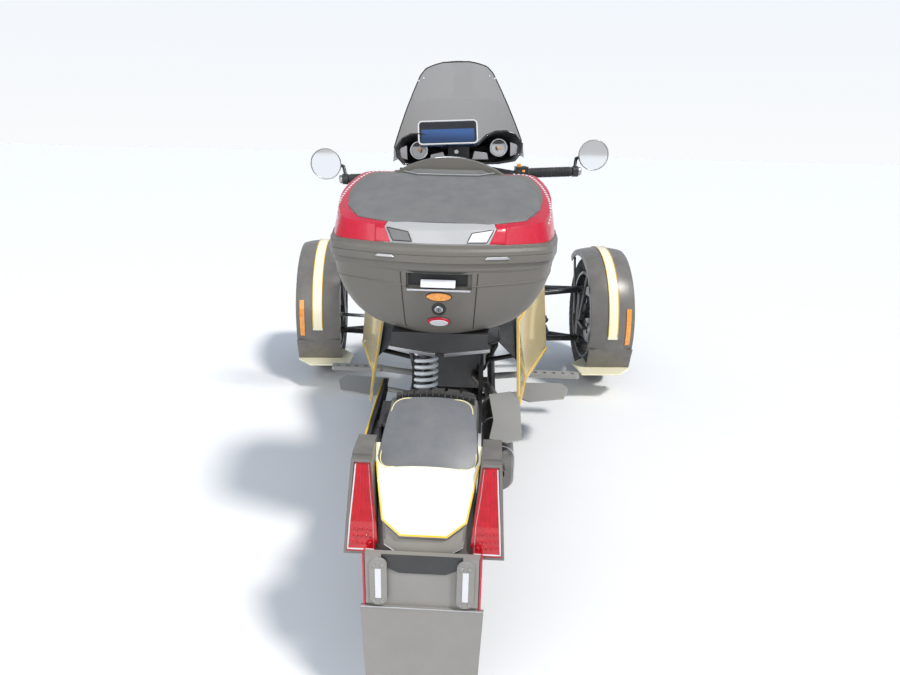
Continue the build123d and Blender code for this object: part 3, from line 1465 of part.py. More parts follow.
def windshield():
    """Curved clear screen, wide at its foot and rounded at its top."""
    rise = screen_top_z - screen_low_z
    run = screen_low_y - screen_top_y
    height = sqrt(rise * rise + run * run)
    base = Plane(origin=(0, screen_low_y, screen_low_z), x_dir=(1, 0, 0), z_dir=(0, -rise, -run))
    foot = (screen_foot_half_width, 0)
    side_low = (screen_side_half_width, screen_side_start)
    side_high = (screen_shoulder_half_width, height - screen_shoulder_drop)
    side_middle = ((side_low[0] + side_high[0]) / 2 + screen_side_bulge, (side_low[1] + side_high[1]) / 2)
    crest = (screen_crest_half_width, height - screen_crest_drop)
    right = [Line(foot, side_low), ThreePointArc(side_low, side_middle, side_high), Line(side_high, crest)]
    outline = [*right, ThreePointArc(crest, (0, height), (-crest[0], crest[1]))]
    outline += [mirror(edge, about=Plane.YZ) for edge in right]
    outline.append(Line((-foot[0], 0), foot))
    sheet = extrude(base * make_face(outline), 300, both=True)
    drum_plane = Plane(origin=(0, screen_low_y, screen_low_z), x_dir=(1, 0, 0), z_dir=(0, -run, rise))
    ring = Cylinder(screen_bend_radius, 3 * height) - Cylinder(screen_bend_radius - screen_wall, 3 * height)
    drum = drum_plane * (Pos(0, -screen_bend_radius, 0) * ring)
    front_half = drum_plane * (Pos(0, 400 - screen_bend_radius, 0) * Box(1200, 800, 3 * height))
    return sheet & drum & front_half


nodes = {}


def add(name, solid):
    """Keep one named piece."""
    nodes[name] = solid


def at_front_wheel(solid):
    """Move a piece built about the X axis to the right front wheel, straight ahead."""
    return Pos(wheel_x, front_axle_y, front_tyre_radius) * solid


def add_front_pair(name, solid):
    """Keep the right and left copies of a steered piece, both turned left by the rest angle."""
    for side, piece, x in (("right", solid, kingpin_x), ("left", other_side(solid), -kingpin_x)):
        pin = Axis((x, front_axle_y, 0), (0, 0, 1))
        turned = [part.rotate(pin, rest_steer * wheel_ratio) for part in piece.solids()]
        add(name + "_" + side, together(*turned))


add_front_pair("front_tyre", at_front_wheel(tyre(
    front_tyre_radius, front_tyre_width, front_tread_width, front_rim_radius, front_rim_width)))
add_front_pair("front_wheel", at_front_wheel(rim(
    front_rim_radius, front_rim_width, front_spoke_offset, front_bore_radius, 0)
    + Pos(disc_offset, 0, 0) * brake_disc(front_bore_radius)))
add_front_pair("knuckle", knuckle() + fender_stays() + caliper())
add_front_pair("front_fender", at_front_wheel(front_fender() + fender_flap()))
stripe = fender_strip(-stripe_width / 2, stripe_width / 2, stripe_start, stripe_end)
add_front_pair("fender_trim", together(at_front_wheel(stripe), at_front_wheel(fender_shelf())))
add_front_pair("fender_reflector", at_front_wheel(fender_strip(
    reflector_low_x, reflector_low_x + reflector_width, reflector_start, reflector_end)))

add("rear_tyre", Pos(0, rear_axle_y, rear_tyre_radius) * tyre(
    rear_tyre_radius, rear_tyre_width, rear_tread_width, rear_rim_radius, rear_rim_width))
add("rear_wheel", Pos(0, rear_axle_y, rear_tyre_radius) * rim(
    rear_rim_radius, rear_rim_width, rear_spoke_offset, rear_bore_radius, 18))

add("hood", hood())
add("side_panels", both_sides(slanted_panel(side_panel_sections)))
add("frame", frame() - nodes["hood"] - nodes["side_panels"])
add("engine", engine())
add("lower_arms", both_sides(suspension_arm(lower_pivot_x, lower_pivot_z, knuckle_low_z) + shock_seat()))
add("upper_arms", both_sides(suspension_arm(upper_pivot_x, upper_pivot_z, knuckle_high_z)))
shock_foot = (shock_foot_x, front_axle_y, arm_height(shock_foot_x) + shock_foot_rise)
shock_top = (shock_top_x, front_axle_y, shock_top_z)
add("front_shocks", both_sides(shock(shock_foot, shock_top, Vector(0, 1, 0))))

add("swingarm", swingarm() + fender_carrier())
add("final_drive", together(final_drive(), drive_cap()))
add("swingarm_cover", swingarm_cover())
add("rear_shock", shock((rear_shock_x, *rear_shock_foot), (rear_shock_x, *rear_shock_top), Vector(1, 0, 0)))
add("fender_pad", fender_patch(pad_outline, pad_tilt, pad_height, pad_corner))
pad_room = fender_patch(pad_outline, pad_tilt, panel_height + seat_gap, pad_corner)
add("fender_panel", fender_patch(panel_outline, panel_tilt, panel_height, 0) - pad_room)
fender_lip = fender_patch(lip_outline, panel_tilt, lip_height, 0) - nodes["fender_panel"]
add("rear_fender", together(rear_fender() + fender_lip, both_sides(lamp_housing())))
add("tail_lamps", both_sides(tail_lamp()))
add("plate_panel", plate_panel() + plate_bars())
add("mud_flap", mud_flap())

add("case_tub", case_tub() + hinge_barrels(False))
lid, red, strip, panel = lid_pieces()
add("case_lid", together(lid + hinge_barrels(True), panel))
add("lid_reflectors", red)
add("lid_strip", strip)
add("case_carrier", case_carrier() - nodes["frame"])
add("carrier_trims", carrier_trims())

add("console", console())
add("seat", seat())
add("tail_cover", tail_cover() - nodes["frame"] - nodes["seat"])
add("side_covers", both_sides(side_cover()) - nodes["side_panels"] - nodes["frame"])
add("headlamps", headlamps())
add("grille", grille())
add("exhaust", exhaust())
add("heat_shield", heat_shield())
add("footrests", both_sides(footrest()))
add("rack_housing", rack_housing())
add("tie_rods", tie_rods())

add("steering_stem", steered(stem()))
add("handlebar", steered(together(handlebar(), switch_boxes())))
add("grips", steered(grips()))
mirror_body = mirror_arm() - mirror_glass() + mirror_head()
add("mirrors", steered(both_sides(mirror_body)))
add("mirror_glass", steered(both_sides(mirror_glass())))
add("cowl", steered(cowl() - stem() - windshield() - display(2.0)))
add("display", steered(display()))
add("windshield", steered(windshield()))

os.makedirs("parts", exist_ok=True)
for name, solid in nodes.items():
    export_step(solid, "parts/" + name + ".step")
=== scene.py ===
import bpy, bmesh, json
from math import radians, sin, cos, pi, sqrt, atan2
from mathutils import Vector, Matrix
from mathutils.bvhtree import BVHTree
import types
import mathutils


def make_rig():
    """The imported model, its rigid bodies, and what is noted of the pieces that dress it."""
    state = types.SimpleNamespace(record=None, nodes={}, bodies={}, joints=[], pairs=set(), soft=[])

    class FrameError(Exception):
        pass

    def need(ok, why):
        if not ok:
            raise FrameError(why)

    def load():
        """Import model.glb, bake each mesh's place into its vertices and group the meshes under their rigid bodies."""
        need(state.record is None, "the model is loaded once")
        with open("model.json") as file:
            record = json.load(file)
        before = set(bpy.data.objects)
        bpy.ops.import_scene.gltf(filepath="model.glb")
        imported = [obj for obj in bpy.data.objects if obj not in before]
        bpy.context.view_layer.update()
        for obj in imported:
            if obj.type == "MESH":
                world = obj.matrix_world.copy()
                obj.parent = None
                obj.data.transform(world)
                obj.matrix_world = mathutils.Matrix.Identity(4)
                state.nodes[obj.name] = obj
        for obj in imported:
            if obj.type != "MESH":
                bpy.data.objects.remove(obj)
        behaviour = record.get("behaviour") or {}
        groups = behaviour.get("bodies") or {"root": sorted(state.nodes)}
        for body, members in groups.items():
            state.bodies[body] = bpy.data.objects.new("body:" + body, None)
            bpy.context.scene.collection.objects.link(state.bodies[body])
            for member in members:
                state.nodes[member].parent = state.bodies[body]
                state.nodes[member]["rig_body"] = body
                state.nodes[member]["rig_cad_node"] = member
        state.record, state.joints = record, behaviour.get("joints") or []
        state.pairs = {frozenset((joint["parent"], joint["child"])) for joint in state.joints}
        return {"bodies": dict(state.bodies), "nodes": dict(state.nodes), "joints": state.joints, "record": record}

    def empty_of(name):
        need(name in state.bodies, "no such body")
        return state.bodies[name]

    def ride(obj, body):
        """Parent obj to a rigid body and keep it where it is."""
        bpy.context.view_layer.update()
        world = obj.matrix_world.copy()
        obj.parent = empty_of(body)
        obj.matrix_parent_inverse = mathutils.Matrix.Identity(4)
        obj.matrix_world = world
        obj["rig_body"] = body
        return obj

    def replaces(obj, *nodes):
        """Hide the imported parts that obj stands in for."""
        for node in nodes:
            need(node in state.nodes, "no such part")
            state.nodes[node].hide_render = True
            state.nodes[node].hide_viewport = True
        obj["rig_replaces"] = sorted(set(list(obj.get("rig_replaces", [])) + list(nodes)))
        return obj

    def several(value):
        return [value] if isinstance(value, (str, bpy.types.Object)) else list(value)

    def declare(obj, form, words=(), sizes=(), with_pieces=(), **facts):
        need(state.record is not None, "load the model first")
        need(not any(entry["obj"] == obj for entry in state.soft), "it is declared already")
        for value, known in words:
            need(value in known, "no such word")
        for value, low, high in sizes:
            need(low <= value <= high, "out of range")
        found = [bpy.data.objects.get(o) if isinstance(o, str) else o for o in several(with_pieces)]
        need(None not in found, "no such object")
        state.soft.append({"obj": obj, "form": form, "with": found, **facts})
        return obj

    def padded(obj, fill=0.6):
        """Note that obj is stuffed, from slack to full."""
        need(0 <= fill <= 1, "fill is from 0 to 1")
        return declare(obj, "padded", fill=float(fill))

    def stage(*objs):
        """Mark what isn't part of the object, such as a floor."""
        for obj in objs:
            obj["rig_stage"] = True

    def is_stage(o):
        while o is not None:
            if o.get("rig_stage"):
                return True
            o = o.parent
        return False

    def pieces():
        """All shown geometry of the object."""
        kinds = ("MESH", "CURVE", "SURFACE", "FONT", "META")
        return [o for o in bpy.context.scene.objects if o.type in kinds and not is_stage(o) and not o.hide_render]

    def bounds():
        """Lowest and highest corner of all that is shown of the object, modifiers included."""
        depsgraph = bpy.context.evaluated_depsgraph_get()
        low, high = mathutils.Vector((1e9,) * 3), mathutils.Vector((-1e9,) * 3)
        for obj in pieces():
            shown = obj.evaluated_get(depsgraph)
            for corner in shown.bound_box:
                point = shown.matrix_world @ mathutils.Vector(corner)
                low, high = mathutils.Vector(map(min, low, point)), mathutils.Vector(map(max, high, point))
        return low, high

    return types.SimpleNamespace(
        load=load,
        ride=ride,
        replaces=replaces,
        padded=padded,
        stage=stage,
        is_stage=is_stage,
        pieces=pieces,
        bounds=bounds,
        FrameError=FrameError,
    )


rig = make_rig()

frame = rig.load()
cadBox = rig.bounds()
nodes = frame["nodes"]
print("frame loaded,", len(nodes), "nodes")

# Camera at the photograph's angle. Places in metres, in the frame of the CAD
cameraView = {"place": (0.0967, -2.263, 1.280), "yaw": 2.64, "pitch": -19.78, "roll": 1.146, "lens": 26.87}


def setCamera(view):
    cameraData = bpy.data.cameras.new("photoCamera")
    cameraData.lens = view["lens"]
    cameraData.sensor_width = 36.0
    cameraData.clip_start = 0.05
    camera = bpy.data.objects.new("photoCamera", cameraData)
    bpy.context.collection.objects.link(camera)
    turn = Matrix.Rotation(radians(view["yaw"]), 4, "Z") @ Matrix.Rotation(radians(90 + view["pitch"]), 4, "X")
    camera.matrix_world = Matrix.Translation(view["place"]) @ turn @ Matrix.Rotation(radians(view["roll"]), 4, "Z")
    bpy.context.scene.camera = camera


setCamera(cameraView)


# Shader helpers

def addNode(tree, kind, **values):
    node = tree.nodes.new(kind)
    for key, value in values.items():
        if key in node.inputs:
            node.inputs[key].default_value = value
        else:
            setattr(node, key, value)
    return node


def newGroup(name, inputs, outputs):
    tree = bpy.data.node_groups.new(name, "ShaderNodeTree")
    for socketName, socketKind, value in inputs:
        socket = tree.interface.new_socket(socketName, in_out="INPUT", socket_type="NodeSocket" + socketKind)
        socket.default_value = value
    for socketName, socketKind in outputs:
        tree.interface.new_socket(socketName, in_out="OUTPUT", socket_type="NodeSocket" + socketKind)
    return tree, tree.nodes.new("NodeGroupInput"), tree.nodes.new("NodeGroupOutput")


def math(tree, operation, a, b=None, clamp=False):
    node = tree.nodes.new("ShaderNodeMath")
    node.operation = operation
    node.use_clamp = clamp
    for index, value in enumerate((a, b)):
        if value is None:
            continue
        if isinstance(value, (int, float)):
            node.inputs[index].default_value = value
        else:
            tree.links.new(value, node.inputs[index])
    return node.outputs[0]


def above(tree, value, level, gain):
    # 0 up to a level, and from there rising to 1
    return math(tree, "MULTIPLY", math(tree, "SUBTRACT", value, level, clamp=True), gain, clamp=True)


# Rounded edges and the wear on them, for moulded, painted and cast pieces
edgeLook = {"samples": 4, "edgeGain": 6.0, "noise": 3.0, "wornLevel": 0.42, "wornGain": 4.0}


def makeEdgeWear():
    tree, given, result = newGroup("edgeWear",
                                   [("Radius", "Float", 0.002), ("Reach", "Float", 0.5), ("Patches", "Float", 60.0)],
                                   [("Mask", "Float"), ("Normal", "Vector")])
    rounded = addNode(tree, "ShaderNodeBevel", samples=edgeLook["samples"])
    tree.links.new(given.outputs["Radius"], rounded.inputs["Radius"])
    geometry = tree.nodes.new("ShaderNodeNewGeometry")
    alike = addNode(tree, "ShaderNodeVectorMath", operation="DOT_PRODUCT")
    tree.links.new(rounded.outputs[0], alike.inputs[0])
    tree.links.new(geometry.outputs["True Normal"], alike.inputs[1])
    edge = above(tree, 1.0, alike.outputs["Value"], edgeLook["edgeGain"])
    place = tree.nodes.new("ShaderNodeTexCoord")
    patches = addNode(tree, "ShaderNodeTexNoise", Detail=edgeLook["noise"])
    tree.links.new(place.outputs["Object"], patches.inputs["Vector"])
    tree.links.new(given.outputs["Patches"], patches.inputs["Scale"])
    worn = above(tree, patches.outputs["Fac"], edgeLook["wornLevel"], edgeLook["wornGain"])
    mask = math(tree, "MULTIPLY", math(tree, "MULTIPLY", edge, worn), given.outputs["Reach"], clamp=True)
    tree.links.new(mask, result.inputs["Mask"])
    tree.links.new(rounded.outputs[0], result.inputs["Normal"])
    return tree


# Fine moulded grain: a height and a slow change over the surface
def makeGrain():
    tree, given, result = newGroup("grain", [("Scale", "Float", 900.0), ("Depth", "Float", 0.5)],
                                   [("Height", "Float"), ("Patch", "Float")])
    place = tree.nodes.new("ShaderNodeTexCoord")
    cells = addNode(tree, "ShaderNodeTexVoronoi", feature="SMOOTH_F1")
    tree.links.new(place.outputs["Object"], cells.inputs["Vector"])
    tree.links.new(given.outputs["Scale"], cells.inputs["Scale"])
    slow = addNode(tree, "ShaderNodeTexNoise", Scale=7.0, Detail=5.0, Roughness=0.6)
    tree.links.new(place.outputs["Object"], slow.inputs["Vector"])
    tree.links.new(math(tree, "MULTIPLY", cells.outputs["Distance"], given.outputs["Depth"]), result.inputs["Height"])
    tree.links.new(slow.outputs["Fac"], result.inputs["Patch"])
    return tree


# Pale road dust: it lies on faces that look up and low on the vehicle
dustLook = {"colour": (0.34, 0.31, 0.27), "upward": 0.6, "anywhere": 0.15, "level": 0.38, "gain": 3.2,
            "spots": {"Scale": 22.0, "Detail": 7.0, "Roughness": 0.68}}


def makeDust():
    tree, given, result = newGroup("dust", [("Amount", "Float", 0.3), ("Top", "Float", 0.45)], [("Mask", "Float")])
    geometry = tree.nodes.new("ShaderNodeNewGeometry")
    normal = tree.nodes.new("ShaderNodeSeparateXYZ")
    place = tree.nodes.new("ShaderNodeSeparateXYZ")
    tree.links.new(geometry.outputs["Normal"], normal.inputs[0])
    tree.links.new(geometry.outputs["Position"], place.inputs[0])
    up = math(tree, "MULTIPLY", math(tree, "MAXIMUM", normal.outputs["Z"], 0.0), dustLook["upward"])
    low = math(tree, "DIVIDE", math(tree, "SUBTRACT", given.outputs["Top"], place.outputs["Z"]), given.outputs["Top"],
               clamp=True)
    noise = addNode(tree, "ShaderNodeTexNoise", **dustLook["spots"])
    tree.links.new(geometry.outputs["Position"], noise.inputs["Vector"])
    spots = above(tree, noise.outputs["Fac"], dustLook["level"], dustLook["gain"])
    both = math(tree, "ADD", math(tree, "ADD", up, dustLook["anywhere"]), low)
    mask = math(tree, "MULTIPLY", math(tree, "MULTIPLY", both, spots), given.outputs["Amount"], clamp=True)
    tree.links.new(mask, result.inputs["Mask"])
    return tree


# Fine lines along one direction, for brushed, turned and heat-marked metal
def makeBrushing():
    tree, given, result = newGroup("brushing", [("Stretch", "Vector", (6.0, 300.0, 300.0)), ("Depth", "Float", 0.3)],
                                   [("Height", "Float"), ("Patch", "Float")])
    place = tree.nodes.new("ShaderNodeTexCoord")
    stretch = addNode(tree, "ShaderNodeVectorMath", operation="MULTIPLY")
    tree.links.new(place.outputs["Object"], stretch.inputs[0])
    tree.links.new(given.outputs["Stretch"], stretch.inputs[1])
    lines = addNode(tree, "ShaderNodeTexNoise", Scale=1.0, Detail=2.0)
    tree.links.new(stretch.outputs[0], lines.inputs["Vector"])
    slow = addNode(tree, "ShaderNodeTexNoise", Scale=14.0, Detail=4.0)
    tree.links.new(place.outputs["Object"], slow.inputs["Vector"])
    tree.links.new(math(tree, "MULTIPLY", lines.outputs["Fac"], given.outputs["Depth"]), result.inputs["Height"])
    tree.links.new(slow.outputs["Fac"], result.inputs["Patch"])
    return tree


# Small prisms behind a lamp or reflector face, with painted glints: Glint lightens some cells at random
def makePrisms():
    tree, given, result = newGroup("prisms", [("Scale", "Float", 220.0), ("Depth", "Float", 1.0)],
                                   [("Height", "Float"), ("Spark", "Float")])
    place = tree.nodes.new("ShaderNodeTexCoord")
    cells = addNode(tree, "ShaderNodeTexVoronoi", feature="F1", distance="CHEBYCHEV", Randomness=0.15)
    tree.links.new(place.outputs["Object"], cells.inputs["Vector"])
    tree.links.new(given.outputs["Scale"], cells.inputs["Scale"])
    tint = tree.nodes.new("ShaderNodeSeparateXYZ")
    tree.links.new(cells.outputs["Color"], tint.inputs[0])
    tree.links.new(math(tree, "MULTIPLY", cells.outputs["Distance"], given.outputs["Depth"]), result.inputs["Height"])
    tree.links.new(tint.outputs["X"], result.inputs["Spark"])
    return tree


wearGroup, grainGroup, dustGroup = makeEdgeWear(), makeGrain(), makeDust()
brushGroup, prismGroup = makeBrushing(), makePrisms()


def placeGroup(tree, group, **values):
    node = tree.nodes.new("ShaderNodeGroup")
    node.node_tree = group
    for key, value in values.items():
        node.inputs[key].default_value = value
    return node


def mixColour(tree, mask, under, over):
    node = addNode(tree, "ShaderNodeMix", data_type="RGBA")
    tree.links.new(mask, node.inputs["Factor"])
    for socket, value in ((node.inputs[6], under), (node.inputs[7], over)):
        if isinstance(value, tuple):
            socket.default_value = (*value[:3], 1.0)
        else:
            tree.links.new(value, socket)
    return node.outputs[2]


def spread(tree, value, low, high):
    # a slow noise lies mostly between 0.25 and 0.75, and comes out from low to high
    node = addNode(tree, "ShaderNodeMapRange")
    node.inputs["From Min"].default_value = 0.25
    node.inputs["From Max"].default_value = 0.75
    node.inputs["To Min"].default_value = low
    node.inputs["To Max"].default_value = high
    tree.links.new(value, node.inputs["Value"])
    return node.outputs[0]


# One row a finish: colour, second colour in slow patches, roughness from and to, and what the groups add
finishes = {
    "bodyBlack": dict(colour=(0.030, 0.030, 0.032), patch=(0.042, 0.041, 0.041), rough=(0.42, 0.60), grain=(1100, 0.5),
                      bump=0.22, edge=0.0030, wear=0.25, worn=(0.14, 0.14, 0.14), dust=0.10),
    "fenderGrey": dict(colour=(0.135, 0.127, 0.118), patch=(0.165, 0.156, 0.145), rough=(0.26, 0.38), grain=(1300, 0.4),
                       bump=0.16, edge=0.0030, wear=0.2, worn=(0.2, 0.19, 0.18), dust=0.35),
    "caseGrey": dict(colour=(0.130, 0.120, 0.104), patch=(0.160, 0.148, 0.128), rough=(0.36, 0.50), grain=(760, 0.8),
                     bump=0.30, edge=0.0030, wear=0.2, worn=(0.2, 0.19, 0.18), dust=0.12),
    "caseTop": dict(colour=(0.125, 0.125, 0.125), patch=(0.165, 0.164, 0.162), rough=(0.40, 0.52), grain=(320, 1.0),
                    bump=0.55, edge=0.0030, wear=0.15, worn=(0.25, 0.25, 0.24), dust=0.25),
    "yellow": dict(colour=(0.86, 0.50, 0.016), patch=(0.90, 0.55, 0.022), rough=(0.16, 0.24), grain=(2500, 0.1),
                   bump=0.03, edge=0.0025, dust=0.10, coat=0.6),
    "stripeYellow": dict(colour=(0.92, 0.80, 0.38), patch=(0.95, 0.84, 0.45), rough=(0.20, 0.30), grain=(2500, 0.1),
                         bump=0.03, edge=0.0015, dust=0.12, coat=0.5),
    "tyre": dict(colour=(0.020, 0.020, 0.021), patch=(0.045, 0.043, 0.040), rough=(0.72, 0.90), grain=(900, 0.6),
                 bump=0.35, edge=0.0018, wear=0.1, worn=(0.09, 0.085, 0.08), dust=0.24),
    "rubber": dict(colour=(0.018, 0.018, 0.019), patch=(0.028, 0.028, 0.028), rough=(0.60, 0.78), grain=(1400, 0.5),
                   bump=0.25, edge=0.0012, wear=0.1, worn=(0.07, 0.07, 0.07), dust=0.18),
    "frameBlack": dict(colour=(0.016, 0.016, 0.018), patch=(0.026, 0.026, 0.027), rough=(0.28, 0.42), grain=(1800, 0.3),
                       bump=0.08, edge=0.0015, wear=0.35, worn=(0.20, 0.19, 0.18), dust=0.15),
    "alloyBlack": dict(colour=(0.022, 0.022, 0.024), patch=(0.032, 0.031, 0.031), rough=(0.22, 0.34), grain=(1600, 0.3),
                       bump=0.08, edge=0.0020, wear=0.3, worn=(0.35, 0.34, 0.33), dust=0.15, coat=0.3),
    "seatBlack": dict(colour=(0.020, 0.020, 0.022), patch=(0.032, 0.032, 0.034), rough=(0.46, 0.62), grain=(620, 1.0),
                      bump=0.40, edge=0.0, dust=0.15),
    "padGrey": dict(colour=(0.115, 0.120, 0.130), patch=(0.160, 0.165, 0.175), rough=(0.36, 0.48), grain=(900, 0.8),
                    bump=0.25, edge=0.0040, dust=0.25),
    "shieldGrey": dict(colour=(0.30, 0.295, 0.28), patch=(0.38, 0.37, 0.355), rough=(0.42, 0.55), grain=(1500, 0.4),
                       bump=0.10, edge=0.0015, wear=0.2, worn=(0.5, 0.5, 0.48), dust=0.35),
    "springPale": dict(colour=(0.80, 0.84, 0.87), patch=(0.86, 0.89, 0.92), rough=(0.25, 0.36), grain=(2200, 0.2),
                       bump=0.05, edge=0.0010, dust=0.25, coat=0.4),
    "labelWhite": dict(colour=(0.62, 0.62, 0.64), patch=(0.68, 0.68, 0.70), rough=(0.35, 0.45), grain=(2200, 0.1),
                       bump=0.02, edge=0.0005, dust=0.1),
    "glossBlack": dict(colour=(0.008, 0.008, 0.009), patch=(0.012, 0.012, 0.013), rough=(0.07, 0.14), grain=(2200, 0.1),
                       bump=0.02, edge=0.0008, dust=0.08, coat=0.8),
    "orange": dict(colour=(0.80, 0.20, 0.018), patch=(0.86, 0.26, 0.03), rough=(0.12, 0.2), grain=(2200, 0.1),
                   bump=0.02, edge=0.0010, dust=0.1, coat=0.8, prisms=260),
    "lampRed": dict(colour=(0.34, 0.003, 0.007), patch=(0.46, 0.006, 0.014), rough=(0.06, 0.14), grain=(2200, 0.1),
                    bump=0.02, edge=0.0020, dust=0.0, coat=0.4, prisms=95, spark=0.22),
    "crimson": dict(colour=(0.44, 0.002, 0.018), patch=(0.50, 0.003, 0.028), rough=(0.22, 0.32), grain=(2200, 0.1),
                    bump=0.02, edge=0.0020, dust=0.0, coat=0.3, prisms=120, spark=0.10),
    # a near-white yellow: on the rear fender's yellow panel it is painted highlight, the sheen of light on it
    "paleYellow": dict(colour=(0.96, 0.89, 0.62), patch=(0.97, 0.92, 0.70), rough=(0.16, 0.24), grain=(2500, 0.1),
                       bump=0.03, edge=0.0030, dust=0.04, coat=0.6),
    # sideGold: the side panels' own yellow darkened to a brownish gold, partly painted shade
    "sideGold": dict(colour=(0.42, 0.32, 0.12), patch=(0.52, 0.42, 0.20), rough=(0.18, 0.28), grain=(2200, 0.2),
                     bump=0.04, edge=0.0030, dust=0.10, coat=0.7),
    "stripSilver": dict(colour=(0.36, 0.36, 0.36), patch=(0.44, 0.44, 0.44), rough=(0.26, 0.36), grain=(2200, 0.2),
                        bump=0.05, edge=0.0020, dust=0.05, coat=0.3),
    "lipGrey": dict(colour=(0.200, 0.185, 0.165), patch=(0.260, 0.240, 0.215), rough=(0.34, 0.46), grain=(1500, 0.4),
                    bump=0.12, edge=0.0020, wear=0.1, worn=(0.3, 0.29, 0.27), dust=0.15),
    "flapGrey": dict(colour=(0.215, 0.205, 0.190), patch=(0.290, 0.278, 0.258), rough=(0.46, 0.60), grain=(900, 0.7),
                     bump=0.25, edge=0.0015, wear=0.1, worn=(0.4, 0.39, 0.37), dust=0.20),
    "bandRed": dict(colour=(0.50, 0.010, 0.030), patch=(0.58, 0.015, 0.045), rough=(0.30, 0.40), grain=(1500, 0.3),
                    bump=0.05, edge=0.0020, dust=0.10, coat=0.4),
}
metals = {
    "steel": dict(colour=(0.56, 0.55, 0.54), patch=(0.44, 0.43, 0.42), rough=(0.24, 0.38), stretch=(8, 240, 240),
                  bump=0.08),
    "boltZinc": dict(colour=(0.50, 0.50, 0.49), patch=(0.36, 0.35, 0.33), rough=(0.30, 0.45), stretch=(60, 60, 60),
                     bump=0.05),
    "chrome": dict(colour=(0.78, 0.78, 0.79), patch=(0.70, 0.70, 0.71), rough=(0.05, 0.12), stretch=(12, 40, 40),
                   bump=0.01),
    "strip": dict(colour=(0.62, 0.62, 0.63), patch=(0.54, 0.54, 0.55), rough=(0.30, 0.42), stretch=(6, 260, 260),
                  bump=0.06),
    "casting": dict(colour=(0.15, 0.15, 0.155), patch=(0.10, 0.10, 0.10), rough=(0.45, 0.62), stretch=(420, 420, 420),
                    bump=0.25, metallic=0.6),
    "exhaust": dict(colour=(0.26, 0.25, 0.24), patch=(0.16, 0.145, 0.13), rough=(0.30, 0.48), stretch=(240, 10, 240),
                    bump=0.10),
}
bumpDistance = 0.0006  # metres
materials = {}


def newMaterial(name):
    material = bpy.data.materials.new(name)
    material.use_nodes = True
    tree = material.node_tree
    shader = tree.nodes["Principled BSDF"]
    materials[name] = material
    return tree, shader


def addDust(tree, colour, amount):
    if amount <= 0:
        return colour
    dust = placeGroup(tree, dustGroup, Amount=amount)
    return mixColour(tree, dust.outputs["Mask"], colour, dustLook["colour"])


def addBump(tree, shader, strength, height, normal):
    bump = addNode(tree, "ShaderNodeBump", Strength=strength, Distance=bumpDistance)
    tree.links.new(height, bump.inputs["Height"])
    if normal is not None:
        tree.links.new(normal, bump.inputs["Normal"])
    tree.links.new(bump.outputs[0], shader.inputs["Normal"])


def makeFinish(name, row):
    tree, shader = newMaterial(name)
    grain = placeGroup(tree, grainGroup, Scale=float(row["grain"][0]), Depth=row["grain"][1])
    colour = mixColour(tree, grain.outputs["Patch"], row["colour"], row["patch"])
    normal = None
    if row["edge"] > 0:
        reach = row.get("wear", 0.0)
        wear = placeGroup(tree, wearGroup, Radius=row["edge"], Reach=reach)
        normal = wear.outputs["Normal"]
        if reach > 0:
            colour = mixColour(tree, wear.outputs["Mask"], colour, row["worn"])
    height = grain.outputs["Height"]
    if row.get("prisms"):
        prisms = placeGroup(tree, prismGroup, Scale=float(row["prisms"]), Depth=1.0)
        # painted glints: random prism cells take a lighter copy of the finish's colour
        bright = tuple(min(1.0, c * 1.9 + 0.01) for c in row["patch"])
        colour = mixColour(tree, math(tree, "MULTIPLY", prisms.outputs["Spark"], row.get("spark", 0.7)), colour, bright)
        height = prisms.outputs["Height"]
    colour = addDust(tree, colour, row["dust"])
    tree.links.new(colour, shader.inputs["Base Color"])
    tree.links.new(spread(tree, grain.outputs["Patch"], *row["rough"]), shader.inputs["Roughness"])
    addBump(tree, shader, row["bump"], height, normal)
    shader.inputs["Coat Weight"].default_value = row.get("coat", 0.0)
    shader.inputs["Coat Roughness"].default_value = 0.06


def makeMetal(name, row):
    tree, shader = newMaterial(name)
    lines = placeGroup(tree, brushGroup, Stretch=row["stretch"], Depth=0.4)
    wear = placeGroup(tree, wearGroup, Radius=0.0012, Reach=0.3)
    colour = mixColour(tree, lines.outputs["Patch"], row["colour"], row["patch"])
    tree.links.new(addDust(tree, colour, 0.22), shader.inputs["Base Color"])
    tree.links.new(spread(tree, lines.outputs["Patch"], *row["rough"]), shader.inputs["Roughness"])
    shader.inputs["Metallic"].default_value = row.get("metallic", 1.0)
    addBump(tree, shader, row["bump"], lines.outputs["Height"], wear.outputs["Normal"])


for finishName, finishRow in finishes.items():
    makeFinish(finishName, finishRow)
for finishName, finishRow in metals.items():
    makeMetal(finishName, finishRow)


# Smoked screen, clear lens and mirror
def makeGlass(name, colour, alpha, rough):
    tree, shader = newMaterial(name)
    film = placeGroup(tree, grainGroup, Scale=1600.0, Depth=0.2)
    tree.links.new(spread(tree, film.outputs["Patch"], rough, rough + 0.05), shader.inputs["Roughness"])
    tree.links.new(mixColour(tree, film.outputs["Patch"], colour, tuple(c * 1.25 for c in colour)),
                   shader.inputs["Base Color"])
    shader.inputs["IOR"].default_value = 1.49
    facing = addNode(tree, "ShaderNodeLayerWeight", Blend=0.35)
    rim = math(tree, "ADD", math(tree, "MULTIPLY", facing.outputs["Facing"], 0.45), alpha, clamp=True)
    tree.links.new(rim, shader.inputs["Alpha"])


def makeMirror():
    tree, shader = newMaterial("mirrorGlass")
    film = placeGroup(tree, grainGroup, Scale=1800.0, Depth=0.2)
    tree.links.new(spread(tree, film.outputs["Patch"], 0.02, 0.05), shader.inputs["Roughness"])
    tree.links.new(mixColour(tree, film.outputs["Patch"], (0.86, 0.87, 0.88), (0.90, 0.91, 0.92)),
                   shader.inputs["Base Color"])
    shader.inputs["Metallic"].default_value = 1.0


makeGlass("smokeScreen", (0.070, 0.055, 0.050), 0.36, 0.04)
makeGlass("clearLens", (0.75, 0.78, 0.80), 0.18, 0.03)
makeMirror()


